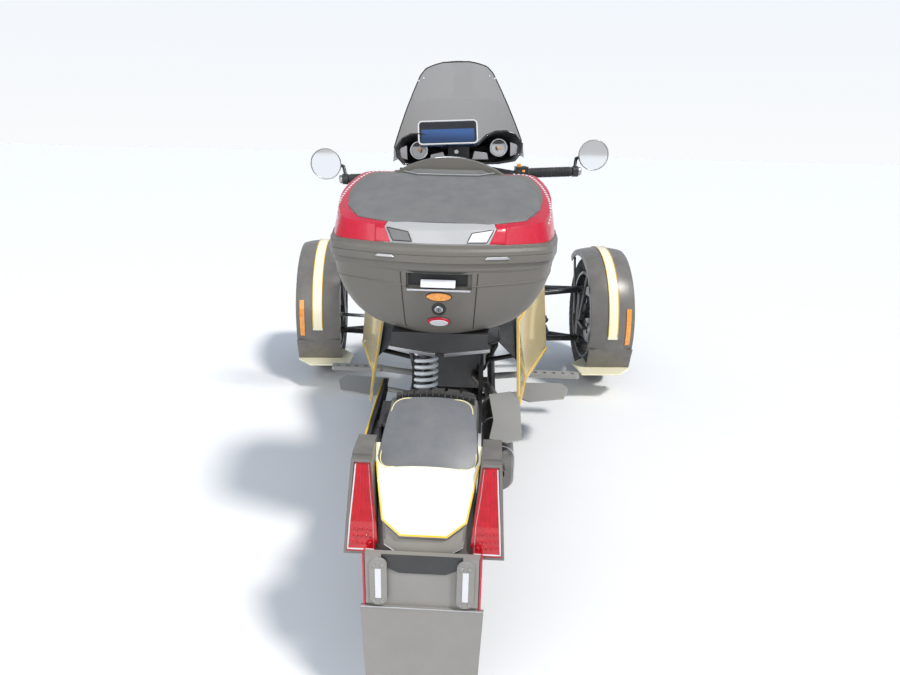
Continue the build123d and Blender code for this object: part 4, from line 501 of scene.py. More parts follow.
# Display face: a dim blue picture, lighter towards its top
def makeDisplay():
    tree, shader = newMaterial("displayFace")
    place = tree.nodes.new("ShaderNodeTexCoord")
    split = tree.nodes.new("ShaderNodeSeparateXYZ")
    tree.links.new(place.outputs["Generated"], split.inputs[0])
    glow = spread(tree, split.outputs["Z"], 0.0, 1.0)
    colour = mixColour(tree, glow, (0.012, 0.030, 0.085), (0.030, 0.075, 0.20))
    tree.links.new(colour, shader.inputs["Base Color"])
    tree.links.new(colour, shader.inputs["Emission Color"])
    shader.inputs["Emission Strength"].default_value = 0.25
    shader.inputs["Roughness"].default_value = 0.12
    shader.inputs["Coat Weight"].default_value = 0.6


makeDisplay()
print("materials made:", len(materials))


# Mesh helpers

def fromBmesh(name, form, body, material, sharpFrom=38):
    # a piece that rides on a CAD body, smooth but for edges sharper than sharpFrom degrees
    mesh = bpy.data.meshes.new(name)
    bmesh.ops.recalc_face_normals(form, faces=form.faces)
    form.to_mesh(mesh)
    form.free()
    piece = bpy.data.objects.new(name, mesh)
    bpy.context.collection.objects.link(piece)
    mesh.materials.append(materials[material])
    for polygon in mesh.polygons:
        polygon.use_smooth = True
    mesh.set_sharp_from_angle(angle=radians(sharpFrom))
    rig.ride(piece, body)
    return piece


def dress(material, *nodeNames):
    for nodeName in nodeNames:
        piece = nodes[nodeName]
        piece.data.materials.clear()
        piece.data.materials.append(materials[material])


def latheRing(form, profile, steps):
    # profile rows are (across, radius); the ring turns about X
    rings = []
    for index in range(steps):
        turn = 2 * pi * index / steps
        rings.append([form.verts.new((across, radius * sin(turn), radius * cos(turn))) for across, radius in profile])
    for index in range(steps):
        first, second = rings[index], rings[(index + 1) % steps]
        for row in range(len(profile) - 1):
            form.faces.new((first[row], first[row + 1], second[row + 1], second[row]))
    return rings


def alongMatrix(start, direction, lean=None):
    # a frame whose Z runs along the direction
    axis = Vector(direction).normalized()
    side = Vector(lean) if lean else (Vector((0, 0, 1)) if abs(axis.z) < 0.9 else Vector((0, 1, 0)))
    across = side.cross(axis).normalized()
    return Matrix.Translation(Vector(start)) @ Matrix((across, axis.cross(across), axis)).transposed().to_4x4()


def addLathe(form, profile, steps, matrix):
    # profile rows are (radius, height); the form turns about the matrix's Z and closes on its axis
    rings = []
    for radius, height in profile:
        if radius < 1e-6:
            rings.append([form.verts.new(matrix @ Vector((0, 0, height)))])
            continue
        ring = []
        for i in range(steps):
            turn = 2 * pi * i / steps
            ring.append(form.verts.new(matrix @ Vector((radius * cos(turn), radius * sin(turn), height))))
        rings.append(ring)
    for low, high in zip(rings, rings[1:]):
        for i in range(steps):
            j = (i + 1) % steps
            corners = [low[i % len(low)], low[j % len(low)], high[j % len(high)], high[i % len(high)]]
            corners = list(dict.fromkeys(corners))
            if len(corners) > 2:
                form.faces.new(corners)


def addPrism(form, outline, depth, matrix, taper=0.0):
    # outline rows are (x, y) in the matrix's plane; it rises along Z and its top may draw in
    middle = [sum(p[k] for p in outline) / len(outline) for k in (0, 1)]
    low = [form.verts.new(matrix @ Vector((x, y, 0))) for x, y in outline]
    high = [form.verts.new(matrix @ Vector((x - (x - middle[0]) * taper, y - (y - middle[1]) * taper, depth)))
            for x, y in outline]
    form.faces.new(low[::-1])
    form.faces.new(high)
    for i in range(len(outline)):
        j = (i + 1) % len(outline)
        form.faces.new((low[i], low[j], high[j], high[i]))


def scaled(profile, radius):
    # profile rows are (share of the radius, height)
    return [(radius * share, height) for share, height in profile]


def roundedOutline(width, height, corner, steps=5):
    points = []
    x, y = width / 2 - corner, height / 2 - corner
    for cx, cy, start in ((x, y, 0), (-x, y, 90), (-x, -y, 180), (x, -y, 270)):
        for i in range(steps + 1):
            angle = radians(start + 90 * i / steps)
            points.append((cx + corner * cos(angle), cy + corner * sin(angle)))
    return points


def addTube(form, points, radius, sides=10, closed=False):
    # a tube with mitred bends along a list of places
    points = [Vector(p) for p in points]
    count = len(points)
    rings = []
    across = None
    for index, point in enumerate(points):
        before = points[index - 1] if index > 0 or closed else point
        after = points[(index + 1) % count] if index < count - 1 or closed else point
        axis = (after - before).normalized()
        if across is None:
            across = axis.orthogonal().normalized()
        across = (across - axis * across.dot(axis)).normalized()
        second = axis.cross(across)
        turns = [2 * pi * i / sides for i in range(sides)]
        rings.append([form.verts.new(point + (across * cos(turn) + second * sin(turn)) * radius) for turn in turns])
    pairs = list(zip(rings, rings[1:])) + ([(rings[-1], rings[0])] if closed else [])
    for low, high in pairs:
        for i in range(sides):
            j = (i + 1) % sides
            form.faces.new((low[i], low[j], high[j], high[i]))
    if not closed:
        form.faces.new(rings[0][::-1])
        form.faces.new(rings[-1])


# Hexagon flange bolt: washer face, hexagon and dished top
boltShape = {"washer": 1.35, "washerHeight": 0.22, "headHeight": 0.8, "dish": 0.55}


def addBolt(form, place, direction, radius):
    matrix = alongMatrix(place, direction)
    washer, height = radius * boltShape["washer"], radius * boltShape["washerHeight"]
    addLathe(form, [(0, 0), (washer, 0), (washer, height * 0.7), (washer * 0.92, height), (0, height)], 16, matrix)
    top = radius * boltShape["headHeight"]
    hexagon = [(radius * cos(radians(60 * i)), radius * sin(radians(60 * i))) for i in range(6)]
    addPrism(form, hexagon, top - height, matrix @ Matrix.Translation((0, 0, height)), taper=0.08)
    dish, foot = radius * boltShape["dish"], top - height * 0.8
    addLathe(form, [(dish, top), (dish * 0.7, foot), (0, foot)], 12, matrix @ Matrix.Translation((0, 0, 0.0001)))


def boltSet(name, rows, body):
    # rows are (place, direction, radius)
    form = bmesh.new()
    for row in rows:
        addBolt(form, *row)
    return fromBmesh(name, form, body, "boltZinc")


# Front corners. Local X points outboard from the middle of the wheel, Y forward
corner = {"kingpin": (0.585, 0.885), "offset": 0.072, "height": 0.2902, "turn": 5.115}


def cornerMatrix(side):
    x, y = corner["kingpin"]
    mirror = Matrix.Diagonal((side, 1, 1, 1))
    turn = Matrix.Rotation(radians(corner["turn"]), 4, "Z")
    outward = Matrix.Translation((corner["offset"], 0, 0))
    return Matrix.Translation((side * x, y, corner["height"])) @ turn @ mirror @ outward


sideNames = {1: "Right", -1: "Left"}
rearAxle = Matrix.Translation((0, -0.824, 0.3032))

# Tyres with road tread. Sizes in metres, grooves as (across, half width) from the middle of the tread
frontTyre = {"radius": 0.2902, "width": 0.145, "tread": 0.118, "rim": 0.2032, "rimWidth": 0.120, "drop": 0.011,
             "grooves": ((-0.030, 0.0032), (0.0, 0.0036), (0.030, 0.0032)), "pitches": 56, "depth": 0.0062,
             "shoulderCut": 0.0022}
rearTyre = {"radius": 0.3032, "width": 0.205, "tread": 0.176, "rim": 0.1905, "rimWidth": 0.178, "drop": 0.011,
            "grooves": ((-0.056, 0.0040), (-0.019, 0.0045), (0.019, 0.0045), (0.056, 0.0040)),
            "pitches": 52, "depth": 0.0068, "shoulderCut": 0.0022}


def arcThrough(start, middle, end, count):
    # points along the circle through three places
    (ax, ay), (bx, by), (cx, cy) = start, middle, end
    d = 2 * (ax * (by - cy) + bx * (cy - ay) + cx * (ay - by))
    ux = ((ax**2 + ay**2) * (by - cy) + (bx**2 + by**2) * (cy - ay) + (cx**2 + cy**2) * (ay - by)) / d
    uy = ((ax**2 + ay**2) * (cx - bx) + (bx**2 + by**2) * (ax - cx) + (cx**2 + cy**2) * (bx - ax)) / d
    first, mid, last = (atan2(y - uy, x - ux) for x, y in (start, middle, end))
    while mid < first - pi: mid += 2 * pi
    while mid > first + pi: mid -= 2 * pi
    while last < mid - pi: last += 2 * pi
    while last > mid + pi: last -= 2 * pi
    radius = sqrt((ax - ux) ** 2 + (ay - uy) ** 2)
    turns = [first + (last - first) * i / count for i in range(count + 1)]
    return [(ux + radius * cos(turn), uy + radius * sin(turn)) for turn in turns]


def treadHeight(size, x):
    half = size["tread"] / 2
    radius = (half**2 + size["drop"] ** 2) / (2 * size["drop"])
    return size["radius"] - (radius - sqrt(radius**2 - min(abs(x), half) ** 2))


def makeTyre(name, size, matrix, body, node):
    half, bead = size["tread"] / 2, size["rim"] + 0.009
    shoulder = size["radius"] - size["drop"]
    wall = arcThrough((-size["rimWidth"] / 2, bead), (-size["width"] / 2, (bead + shoulder) / 2), (-half, shoulder), 12)
    across = set()
    for middle, groove in size["grooves"]:
        for shift in (-groove - 0.0006, -groove, groove, groove + 0.0006):
            across.add(round(middle + shift, 5))
    steps = 13
    for i in range(1, steps):
        x = round(-half + size["tread"] * i / steps, 5)
        if all(abs(x - middle) > groove + 0.002 for middle, groove in size["grooves"]):
            across.add(x)
    across = sorted(across)
    profile = [(-size["rimWidth"] / 2, size["rim"])] + wall + [(x, treadHeight(size, x)) for x in across]
    profile += [(-x, r) for x, r in reversed(wall)] + [(size["rimWidth"] / 2, size["rim"])]
    count = size["pitches"] * 6
    form = bmesh.new()
    rings = latheRing(form, profile, count)
    first, past = len(wall) + 1, len(wall) + 1 + len(across)
    edge = size["grooves"][-1][0]
    for index, ring in enumerate(rings):
        angle = 2 * pi * index / count
        outward = Vector((0, sin(angle), cos(angle)))
        for row, vert in enumerate(ring):
            x = profile[row][0]
            lower = 0.0
            if first <= row < past:
                if any(abs(x - middle) <= groove + 0.0001 for middle, groove in size["grooves"]):
                    lower = size["depth"]
                slant = 2 if x > 0 else 0
                cut = (index + slant + int(abs(x) * 90)) % 6
                if abs(x) > edge + 0.004 and cut in (0, 1):
                    lower = max(lower, size["depth"] * 0.8)
                elif abs(x) <= edge and cut == 3:
                    lower = max(lower, size["depth"] * 0.45)
            elif 8 <= row < first and index % 6 in (0, 1):
                lower = size["shoulderCut"]
            elif past <= row < len(profile) - 8 and (index + 2) % 6 in (0, 1):
                lower = size["shoulderCut"]
            vert.co -= outward * lower
    # a raised ring low on each side wall
    for ring in rings:
        for row in (4, len(profile) - 5):
            direction = Vector((0, ring[row].co.y, ring[row].co.z)).normalized()
            ring[row].co += direction * 0.0012
    bmesh.ops.transform(form, matrix=matrix, verts=form.verts)
    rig.replaces(fromBmesh(name, form, body, "tyre", 25), node)


for side, sideName in sideNames.items():
    makeTyre("tyreFront" + sideName, frontTyre, cornerMatrix(side), "front_wheel_body_" + sideName.lower(),
             "front_tyre_" + sideName.lower())
makeTyre("tyreRear", rearTyre, rearAxle, "rear_wheel_body", "rear_tyre")
print("tyres made")

# Shocks: open coil, damper tube, spring caps and eyes
frontShock = {"foot": (0.420, 0.885, 0.2056), "top": (0.236, 0.885, 0.545), "eyeAxis": (0, 1, 0), "coil": 0.0315,
              "wire": 0.0048, "turns": 9.5, "low": 0.048, "high": 0.040, "tube": 0.021, "rod": 0.0075,
              "colour": "frameBlack"}
rearShock = {"foot": (-0.056, -0.462, 0.398), "top": (-0.056, -0.415, 0.600), "eyeAxis": (1, 0, 0), "coil": 0.0305,
             "wire": 0.0056, "turns": 6.5, "low": 0.040, "high": 0.034, "tube": 0.019, "rod": 0.0075,
             "colour": "springPale"}
eyeSize = (0.0083, 0.0148, 0.0165)  # radius of the bore, outer radius, half of the width


def makeShock(name, size, side):
    foot = Vector((size["foot"][0] * side, *size["foot"][1:]))
    top = Vector((size["top"][0] * side, *size["top"][1:]))
    length = (top - foot).length
    matrix = alongMatrix(foot, top - foot)
    springForm = bmesh.new()
    low, high = size["low"], length - size["high"]
    steps = int(size["turns"] * 20)
    path = []
    for i in range(steps + 1):
        turn = 2 * pi * size["turns"] * i / steps
        share = i / steps
        flat = min(share * size["turns"], (1 - share) * size["turns"], 1.0)
        height = low + size["wire"] + (high - low - 2 * size["wire"]) * share
        height += (1 - flat) * (-0.25 if share < 0.5 else 0.25) * size["wire"]
        path.append(matrix @ Vector((size["coil"] * cos(turn), size["coil"] * sin(turn), height)))
    addTube(springForm, path, size["wire"], 10)
    spring = fromBmesh(name + "Coil", springForm, "chassis", size["colour"])
    form = bmesh.new()
    cap = size["coil"] + size["wire"]
    tube = size["tube"]
    addLathe(form, [(0, 0.012), (tube * 0.7, 0.012), (tube * 0.7, low - 0.010), (cap, low - 0.008), (cap, low),
                    (tube, low + 0.001), (tube, (low + high) * 0.52), (size["rod"], (low + high) * 0.52 + 0.002),
                    (size["rod"], high - 0.016), (0.014, high - 0.014), (0.014, high - 0.001), (cap, high),
                    (cap, high + 0.007), (tube * 0.8, high + 0.010), (tube * 0.8, length - 0.012),
                    (0, length - 0.012)], 28, matrix)
    for place in (foot, top):
        bore, outer, half = eyeSize
        addLathe(form, [(bore, -half), (outer, -half), (outer, half), (bore, half), (bore, -half)], 24,
                 alongMatrix(place, size["eyeAxis"]))
    body = fromBmesh(name + "Body", form, "chassis", "alloyBlack")
    ring = bmesh.new()
    for i in range(3):
        height = low + 0.012 + i * 0.006
        addLathe(ring, [(tube, height - 0.002), (tube + 0.0028, height - 0.0015), (tube + 0.0028, height + 0.0015),
                        (tube, height + 0.002)], 28, matrix)
    fromBmesh(name + "Rings", ring, "chassis", "steel")
    return spring, body


for side, sideName in sideNames.items():
    coil, body = makeShock("frontShock" + sideName, frontShock, side)
    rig.replaces(coil, "front_shocks")
    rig.replaces(body, "front_shocks")
coil, body = makeShock("rearShock", rearShock, 1)
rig.replaces(coil, "rear_shock")
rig.replaces(body, "rear_shock")
print("shocks made")

# Materials for the CAD pieces that stay
dress("frameBlack", "frame", "steering_stem", "handlebar", "mirrors")
dress("alloyBlack", "lower_arms", "upper_arms", "swingarm", "rack_housing", "rear_wheel", "front_wheel_right",
      "front_wheel_left")
dress("casting", "engine", "final_drive", "knuckle_right", "knuckle_left")
dress("steel", "tie_rods")
dress("bodyBlack", "hood", "console", "side_covers", "tail_cover", "cowl", "grille", "case_carrier", "swingarm_cover")
dress("fenderGrey", "front_fender_right", "front_fender_left", "rear_fender")
# the side panels' yellow is painted darker, towards brown, as painted shade
dress("sideGold", "side_panels")
# the rear fender's yellow panel is painted pale, near white, as painted highlight
dress("paleYellow", "fender_panel")
dress("flapGrey", "plate_panel", "mud_flap")
dress("paleYellow", "fender_trim_right", "fender_trim_left")
dress("orange", "fender_reflector_right", "fender_reflector_left")
dress("caseGrey", "case_tub", "case_lid")
dress("lampRed", "tail_lamps")
dress("crimson", "lid_reflectors")
dress("stripSilver", "lid_strip")
dress("strip", "carrier_trims")
dress("padGrey", "fender_pad")
dress("shieldGrey", "heat_shield", "footrests")
dress("exhaust", "exhaust")
dress("rubber", "grips")
dress("seatBlack", "seat")
dress("mirrorGlass", "mirror_glass")
dress("displayFace", "display")
dress("smokeScreen", "windshield")
dress("clearLens", "headlamps")
print("CAD pieces dressed")

# Places on the surface of a CAD piece
surfaces = {}


def meet(nodeNames, start, direction):
    # the first place on one or more nodes along a line, and the way the surface faces there
    best = None
    for nodeName in nodeNames.split():
        if nodeName not in surfaces:
            form = bmesh.new()
            form.from_mesh(nodes[nodeName].data)
            surfaces[nodeName] = BVHTree.FromBMesh(form)
            form.free()
        place, normal, index, distance = surfaces[nodeName].ray_cast(Vector(start), Vector(direction).normalized())
        if place is not None and (best is None or distance < best[2]):
            best = (place, normal, distance)
    if best is None:
        raise ValueError("nothing of " + nodeNames + " beyond " + str(tuple(start)))
    return best[0], (-best[1] if best[1].dot(Vector(direction)) > 0 else best[1])


def fromBehind(nodeNames):
    return lambda x, z: meet(nodeNames, (x, -1.6, z), (0, 1, 0))


def fromAbove(nodeNames):
    return lambda x, y: meet(nodeNames, (x, y, 1.6), (0, 0, -1))


def fromSide(nodeNames, side):
    return lambda y, z: meet(nodeNames, (1.2 * side, y, z), (-side, 0, 0))


def roundCase(nodeName, angle, z):
    # a place on the case found from all round; angle 0 is straight behind, positive to the right
    way = Vector((sin(radians(angle)), -cos(radians(angle)), 0))
    return meet(nodeName, Vector((0, -0.56, z)) + way, -way)


def ellipse(middle, halfWidth, halfHeight, steps=28):
    return [(middle[0] + halfWidth * cos(2 * pi * i / steps), middle[1] + halfHeight * sin(2 * pi * i / steps))
            for i in range(steps)]


def shifted(outline, x, y):
    return [(a + x, b + y) for a, b in outline]


def sided(outline, side):
    return [(side * x, y) for x, y in outline]


def between(a, b, part, parts=1):
    return a[0] + (b[0] - a[0]) * part / parts, a[1] + (b[1] - a[1]) * part / parts


def lifted(spots, where, lift):
    # the places of some spots on a surface, a little out from it
    return [place + normal * lift for place, normal in (where(*spot) for spot in spots)]


def dense(outline, most):
    # the same outline with no side longer than most
    rows = []
    for start, end in zip(outline, outline[1:] + outline[:1]):
        length = sqrt((end[0] - start[0]) ** 2 + (end[1] - start[1]) ** 2)
        parts = max(1, int(length / most + 0.999))
        rows += [between(start, end, i, parts) for i in range(parts)]
    return rows


def split(outline, parts):
    # every side of an open path cut into as many parts
    rows = []
    for a, b in zip(outline, outline[1:]):
        rows += [between(a, b, i, parts) for i in range(parts)]
    return rows + [outline[-1]]


def addPatch(form, outline, where, lift, rings=4, edge=0.0012):
    # a raised patch that follows a surface, its edge rounded and its foot in the surface
    middle = Vector([sum(p[k] for p in outline) / len(outline) for k in (0, 1)])
    reach = sum((Vector(p) - middle).length for p in outline) / len(outline)
    shares = [(1.0, -0.0008), (1.0, lift * 0.6), (1.0 - min(0.4, edge / reach), lift)]
    shares += [(1.0 - i / rings, lift) for i in range(1, rings)]
    levels = []
    for share, height in shares:
        level = []
        for p in outline:
            spot = middle + (Vector(p) - middle) * share
            place, normal = where(*spot)
            level.append(form.verts.new(place + normal * height))
        levels.append(level)
    place, normal = where(*middle)
    tip = form.verts.new(place + normal * lift)
    count = len(outline)
    for low, high in zip(levels, levels[1:]):
        for i in range(count):
            form.faces.new((low[i], low[(i + 1) % count], high[(i + 1) % count], high[i]))
    for i in range(count):
        form.faces.new((levels[-1][i], levels[-1][(i + 1) % count], tip))


def patch(name, outline, where, lift, body, material, rings=4):
    form = bmesh.new()
    addPatch(form, outline, where, lift, rings)
    return fromBmesh(name, form, body, material)


def line(name, paths, radius, body, material, sides=8, closed=False):
    form = bmesh.new()
    for path in paths:
        addTube(form, path, radius, sides, closed)
    return fromBmesh(name, form, body, material)


def prism(name, body, material, *shape):
    form = bmesh.new()
    addPrism(form, *shape)
    return fromBmesh(name, form, body, material)


def along(where, start, end, steps, lift=0.0):
    # a path over a surface, straight as seen from where the surface is looked at
    return lifted([between(start, end, i, steps) for i in range(steps + 1)], where, lift)


backward = Matrix.Rotation(radians(90), 4, "X")  # turns what is drawn flat to face straight behind


# Top case: seams, beads, handle lip, recess, label plate, oval plates, lock and tabs
caseDetail = {"seamTop": (0.089, 0.900), "seamLow": (0.081, 0.752), "seamRadius": 0.0012,
              "beadHeight": 0.868, "beadRise": 0.006, "beadAngles": (20, 100), "beadSteps": 30, "beadRadius": 0.0016,
              "handle": (0.146, 0.0045, 0.002), "handleDepth": 0.007, "handlePlace": (0, -0.7775, 0.8605),
              "recess": [(-0.072, 0.8655), (0.066, 0.8655), (0.066, 0.9040), (-0.072, 0.9040)],
              "label": (0.080, 0.019, 0.002), "labelPlace": (-0.002, -0.7745, 0.8735), "labelWay": (0, -0.85, 0.52),
              "oval": (0.0, 0.842, 0.0285, 0.0100), "button": (0.0, 0.7765, 0.0265, 0.0120),
              "lock": (0.0, 0.8105), "lockRadius": 0.0095,
              "lockRing": ((1, -0.002), (1.75, -0.002), (1.75, 0.002), (1.55, 0.0034), (1, 0.0034)),
              "lockFace": ((1, 0.0), (1, 0.0046), (0.86, 0.0058), (0.30, 0.0058), (0, 0.0058)),
              "lockSlot": [(-0.0011, -0.0048), (0.0011, -0.0048), (0.0011, 0.0048), (-0.0011, 0.0048)],
              "tabs": ((-0.147, -0.102), (0.103, 0.160)), "tabHeights": (0.9345, 0.9403), "tabSlant": 0.006}
tub = fromBehind("case_tub")
seams = [along(tub, *sided((caseDetail["seamTop"], caseDetail["seamLow"]), side), 14) for side in (-1, 1)]
line("caseSeams", seams, caseDetail["seamRadius"], "chassis", "rubber")
beads = []
low, high = caseDetail["beadAngles"]
steps = caseDetail["beadSteps"]
for side in (-1, 1):
    beads.append([roundCase("case_tub", side * (low + (high - low) * i / steps),
                            caseDetail["beadHeight"] + caseDetail["beadRise"] * sin(pi * i / steps))[0]
                  for i in range(steps + 1)])
line("caseBeads", beads, caseDetail["beadRadius"], "chassis", "caseGrey")
prism("caseHandleLip", "chassis", "strip", roundedOutline(*caseDetail["handle"]), caseDetail["handleDepth"],
      Matrix.Translation(caseDetail["handlePlace"]) @ backward)
# a dark sheet in the handle recess: painted shade
patch("caseRecess", dense(caseDetail["recess"], 0.008), tub, 0.0005, "chassis", "rubber")
prism("caseLabel", "chassis", "labelWhite", roundedOutline(*caseDetail["label"]), 0.0012,
      alongMatrix(caseDetail["labelPlace"], caseDetail["labelWay"], (0, 0, 1)))
x, z, halfWidth, halfHeight = caseDetail["oval"]
patch("caseOvalRim", ellipse((x, z), halfWidth + 0.0022, halfHeight + 0.0022), tub, 0.0012, "chassis", "rubber")
patch("caseOval", ellipse((x, z), halfWidth, halfHeight), tub, 0.0030, "chassis", "orange")
x, z, halfWidth, halfHeight = caseDetail["button"]
patch("caseButtonRim", ellipse((x, z), halfWidth + 0.0015, halfHeight + 0.0015), tub, 0.0014, "chassis", "rubber")
patch("caseButton", ellipse((x, z), halfWidth, halfHeight), tub, 0.0034, "chassis", "bandRed")
patch("caseButtonFace", ellipse((x, z - 0.0022), halfWidth * 0.84, halfHeight * 0.70), tub, 0.0044, "chassis",
      "labelWhite")
lockPlace, lockNormal = tub(*caseDetail["lock"])
lockForm, ringForm, slotForm = bmesh.new(), bmesh.new(), bmesh.new()
radius = caseDetail["lockRadius"]
lockMatrix = alongMatrix(lockPlace, lockNormal)
addLathe(ringForm, scaled(caseDetail["lockRing"], radius), 36, lockMatrix)
addLathe(lockForm, scaled(caseDetail["lockFace"], radius), 36, lockMatrix)
addPrism(slotForm, caseDetail["lockSlot"], 0.0004, lockMatrix @ Matrix.Translation((0, 0, 0.0057)))
fromBmesh("caseLockRing", ringForm, "chassis", "rubber")
fromBmesh("caseLock", lockForm, "chassis", "chrome")
fromBmesh("caseLockSlot", slotForm, "chassis", "rubber")
tabs = bmesh.new()
foot, top = caseDetail["tabHeights"]
slant = caseDetail["tabSlant"]
for low, high in caseDetail["tabs"]:
    addPatch(tabs, dense([(low, foot), (high, foot), (high - slant, top), (low + slant, top)], 0.012), tub, 0.0028)
fromBmesh("caseTabs", tabs, "chassis", "strip")

# Lid: plain plate on the top, badge plate left bare, wings beside the strip and studs along the red band
lidDetail = {"plate": [(-0.180, -0.436), (-0.120, -0.430), (0.120, -0.430), (0.180, -0.436), (0.214, -0.490),
                       (0.234, -0.560), (0.232, -0.640), (0.196, -0.704), (0.110, -0.735), (-0.110, -0.735),
                       (-0.196, -0.704), (-0.232, -0.640), (-0.234, -0.560), (-0.214, -0.490)],
             "raised": [(-0.122, -0.412), (0.122, -0.412), (0.080, -0.470), (-0.080, -0.470)],
             "badge": [(-0.046, -0.372), (0.046, -0.372), (0.040, -0.392), (-0.040, -0.392)],
             "wing": [(0.062, 0.9695), (0.106, 0.9695), (0.121, 0.9960), (0.072, 0.9890)],
             "stud": 0.0036, "studShape": ((1, -0.0006), (1, 0.0008), (0.6, 0.0017), (0, 0.0020)),
             "zone": [(-0.112, 0.9665), (0.112, 0.9665), (0.127, 0.9975), (0.122, 1.0060), (-0.122, 1.0060),
                      (-0.127, 0.9975)],
             "tip": [(0.112, 0.9665), (0.149, 0.9665), (0.151, 1.0060), (0.124, 1.0060), (0.127, 0.9975)],
             # the two wings are alike: the right one is white as painted highlight, the left one grey
             "wings": {1: "labelWhite", -1: "caseTop"},
             "studs": [(0.150, -0.372), (0.176, -0.376), (0.200, -0.384), (0.218, -0.400), (0.229, -0.424),
                       (0.238, -0.450), (0.245, -0.476), (0.250, -0.502), (0.254, -0.530), (0.257, -0.558),
                       (0.259, -0.586), (0.258, -0.614), (0.256, -0.642), (0.251, -0.668)]}
lidTop = fromAbove("case_lid lid_reflectors")
lidBack = fromBehind("lid_strip case_lid lid_reflectors")
patch("lidPlate", dense(lidDetail["plate"], 0.02), lidTop, 0.0022, "case_lid_body", "caseTop", rings=10)
patch("lidRaised", dense(lidDetail["raised"], 0.012), lidTop, 0.0060, "case_lid_body", "caseTop", rings=6)
raisedPath = split(lidDetail["raised"][1:] + lidDetail["raised"][:1], 10)
line("lidRaisedEdge", [lifted(raisedPath, lidTop, 0.0058)], 0.0016, "case_lid_body", "stripSilver")
patch("lidBadge", dense(lidDetail["badge"], 0.01), lidTop, 0.0016, "case_lid_body", "chrome")
for side, sideName in sideNames.items():
    outline = dense(sided(lidDetail["wing"], side), 0.008)
    # the right wing's white is painted highlight
    patch("lidWing" + sideName, outline, lidBack, 0.0034, "case_lid_body", lidDetail["wings"][side])
    line("lidWingEdge" + sideName, [lifted(outline, lidBack, 0.0034)], 0.0010, "case_lid_body", "rubber", 6,
         closed=True)
    tip = dense(sided(lidDetail["tip"], side), 0.008)
    patch("lidReflectorTip" + sideName, tip, lidBack, 0.0014, "case_lid_body", "crimson")
patch("lidZone", dense(lidDetail["zone"], 0.008), lidBack, 0.0018, "case_lid_body", "stripSilver", rings=8)
studForm = bmesh.new()
studRow = lidDetail["studs"]
studRow = studRow + [((a[0] + b[0]) / 2, (a[1] + b[1]) / 2) for a, b in zip(studRow, studRow[1:])]
radius = lidDetail["stud"]
for side in (-1, 1):
    for x, y in studRow:
        place, normal = lidTop(side * x, y)
        addLathe(studForm, scaled(lidDetail["studShape"], radius), 12, alongMatrix(place, normal))
fromBmesh("lidStuds", studForm, "case_lid_body", "labelWhite")
print("case details made")

# Parts that turn with the handlebar, given straight ahead and turned to their rest position
steering = {"place": (0, 0.350, 1.007), "lean": 30.0, "turn": 5.5}
lean = radians(steering["lean"])
steerAxis = Vector((0, -sin(lean), cos(lean)))
steerTurn = (Matrix.Translation(steering["place"]) @ Matrix.Rotation(radians(steering["turn"]), 4, steerAxis)
             @ Matrix.Translation(-Vector(steering["place"])))


def steeredPiece(name, form, material):
    bmesh.ops.transform(form, matrix=steerTurn, verts=form.verts)
    return fromBmesh(name, form, "steering", material)


def steeredBehind(nodeName):
    # the surface of a turned node seen from behind, found and given straight ahead
    def where(x, z):
        place, normal = meet(nodeName, steerTurn @ Vector((x, -1.2, z)), steerTurn.to_3x3() @ Vector((0, 1, 0)))
        return steerTurn.inverted() @ place, steerTurn.inverted().to_3x3() @ normal
    return where


# Instrument display: bright bezel, black face and a picture across its lower part
displayShape = {"place": (-0.040, 0.356, 1.150), "lean": 24.0, "width": 0.222, "height": 0.091, "depth": 0.022,
                "corner": 0.014, "bezel": 0.0030, "bezelInset": 0.004, "glassInset": 0.008, "glassCorner": 0.011,
                "picture": (0.0, -0.013, 0.196, 0.050)}
displayMatrix = Matrix.Translation(displayShape["place"]) @ Matrix.Rotation(radians(-displayShape["lean"]), 4, "X")
faceMatrix = displayMatrix @ Matrix.Translation((0, -displayShape["depth"] / 2, 0)) @ backward
form = bmesh.new()
width, height, inset = displayShape["width"], displayShape["height"], displayShape["bezelInset"]
outline = roundedOutline(width - inset, height - inset, displayShape["corner"], 8)
addTube(form, [faceMatrix @ Vector((x, y, 0.0004)) for x, y in outline], displayShape["bezel"], 10, closed=True)
steeredPiece("displayBezel", form, "labelWhite")
form = bmesh.new()
inset = displayShape["glassInset"]
addPrism(form, roundedOutline(width - inset, height - inset, displayShape["glassCorner"], 8), 0.0012, faceMatrix)
steeredPiece("displayGlass", form, "glossBlack")
form = bmesh.new()
x, y, width, height = displayShape["picture"]
addPrism(form, shifted(roundedOutline(width, height, 0.003), x, y), 0.0004,
         faceMatrix @ Matrix.Translation((0, 0, 0.0012)))
steeredPiece("displayPicture", form, "displayFace")

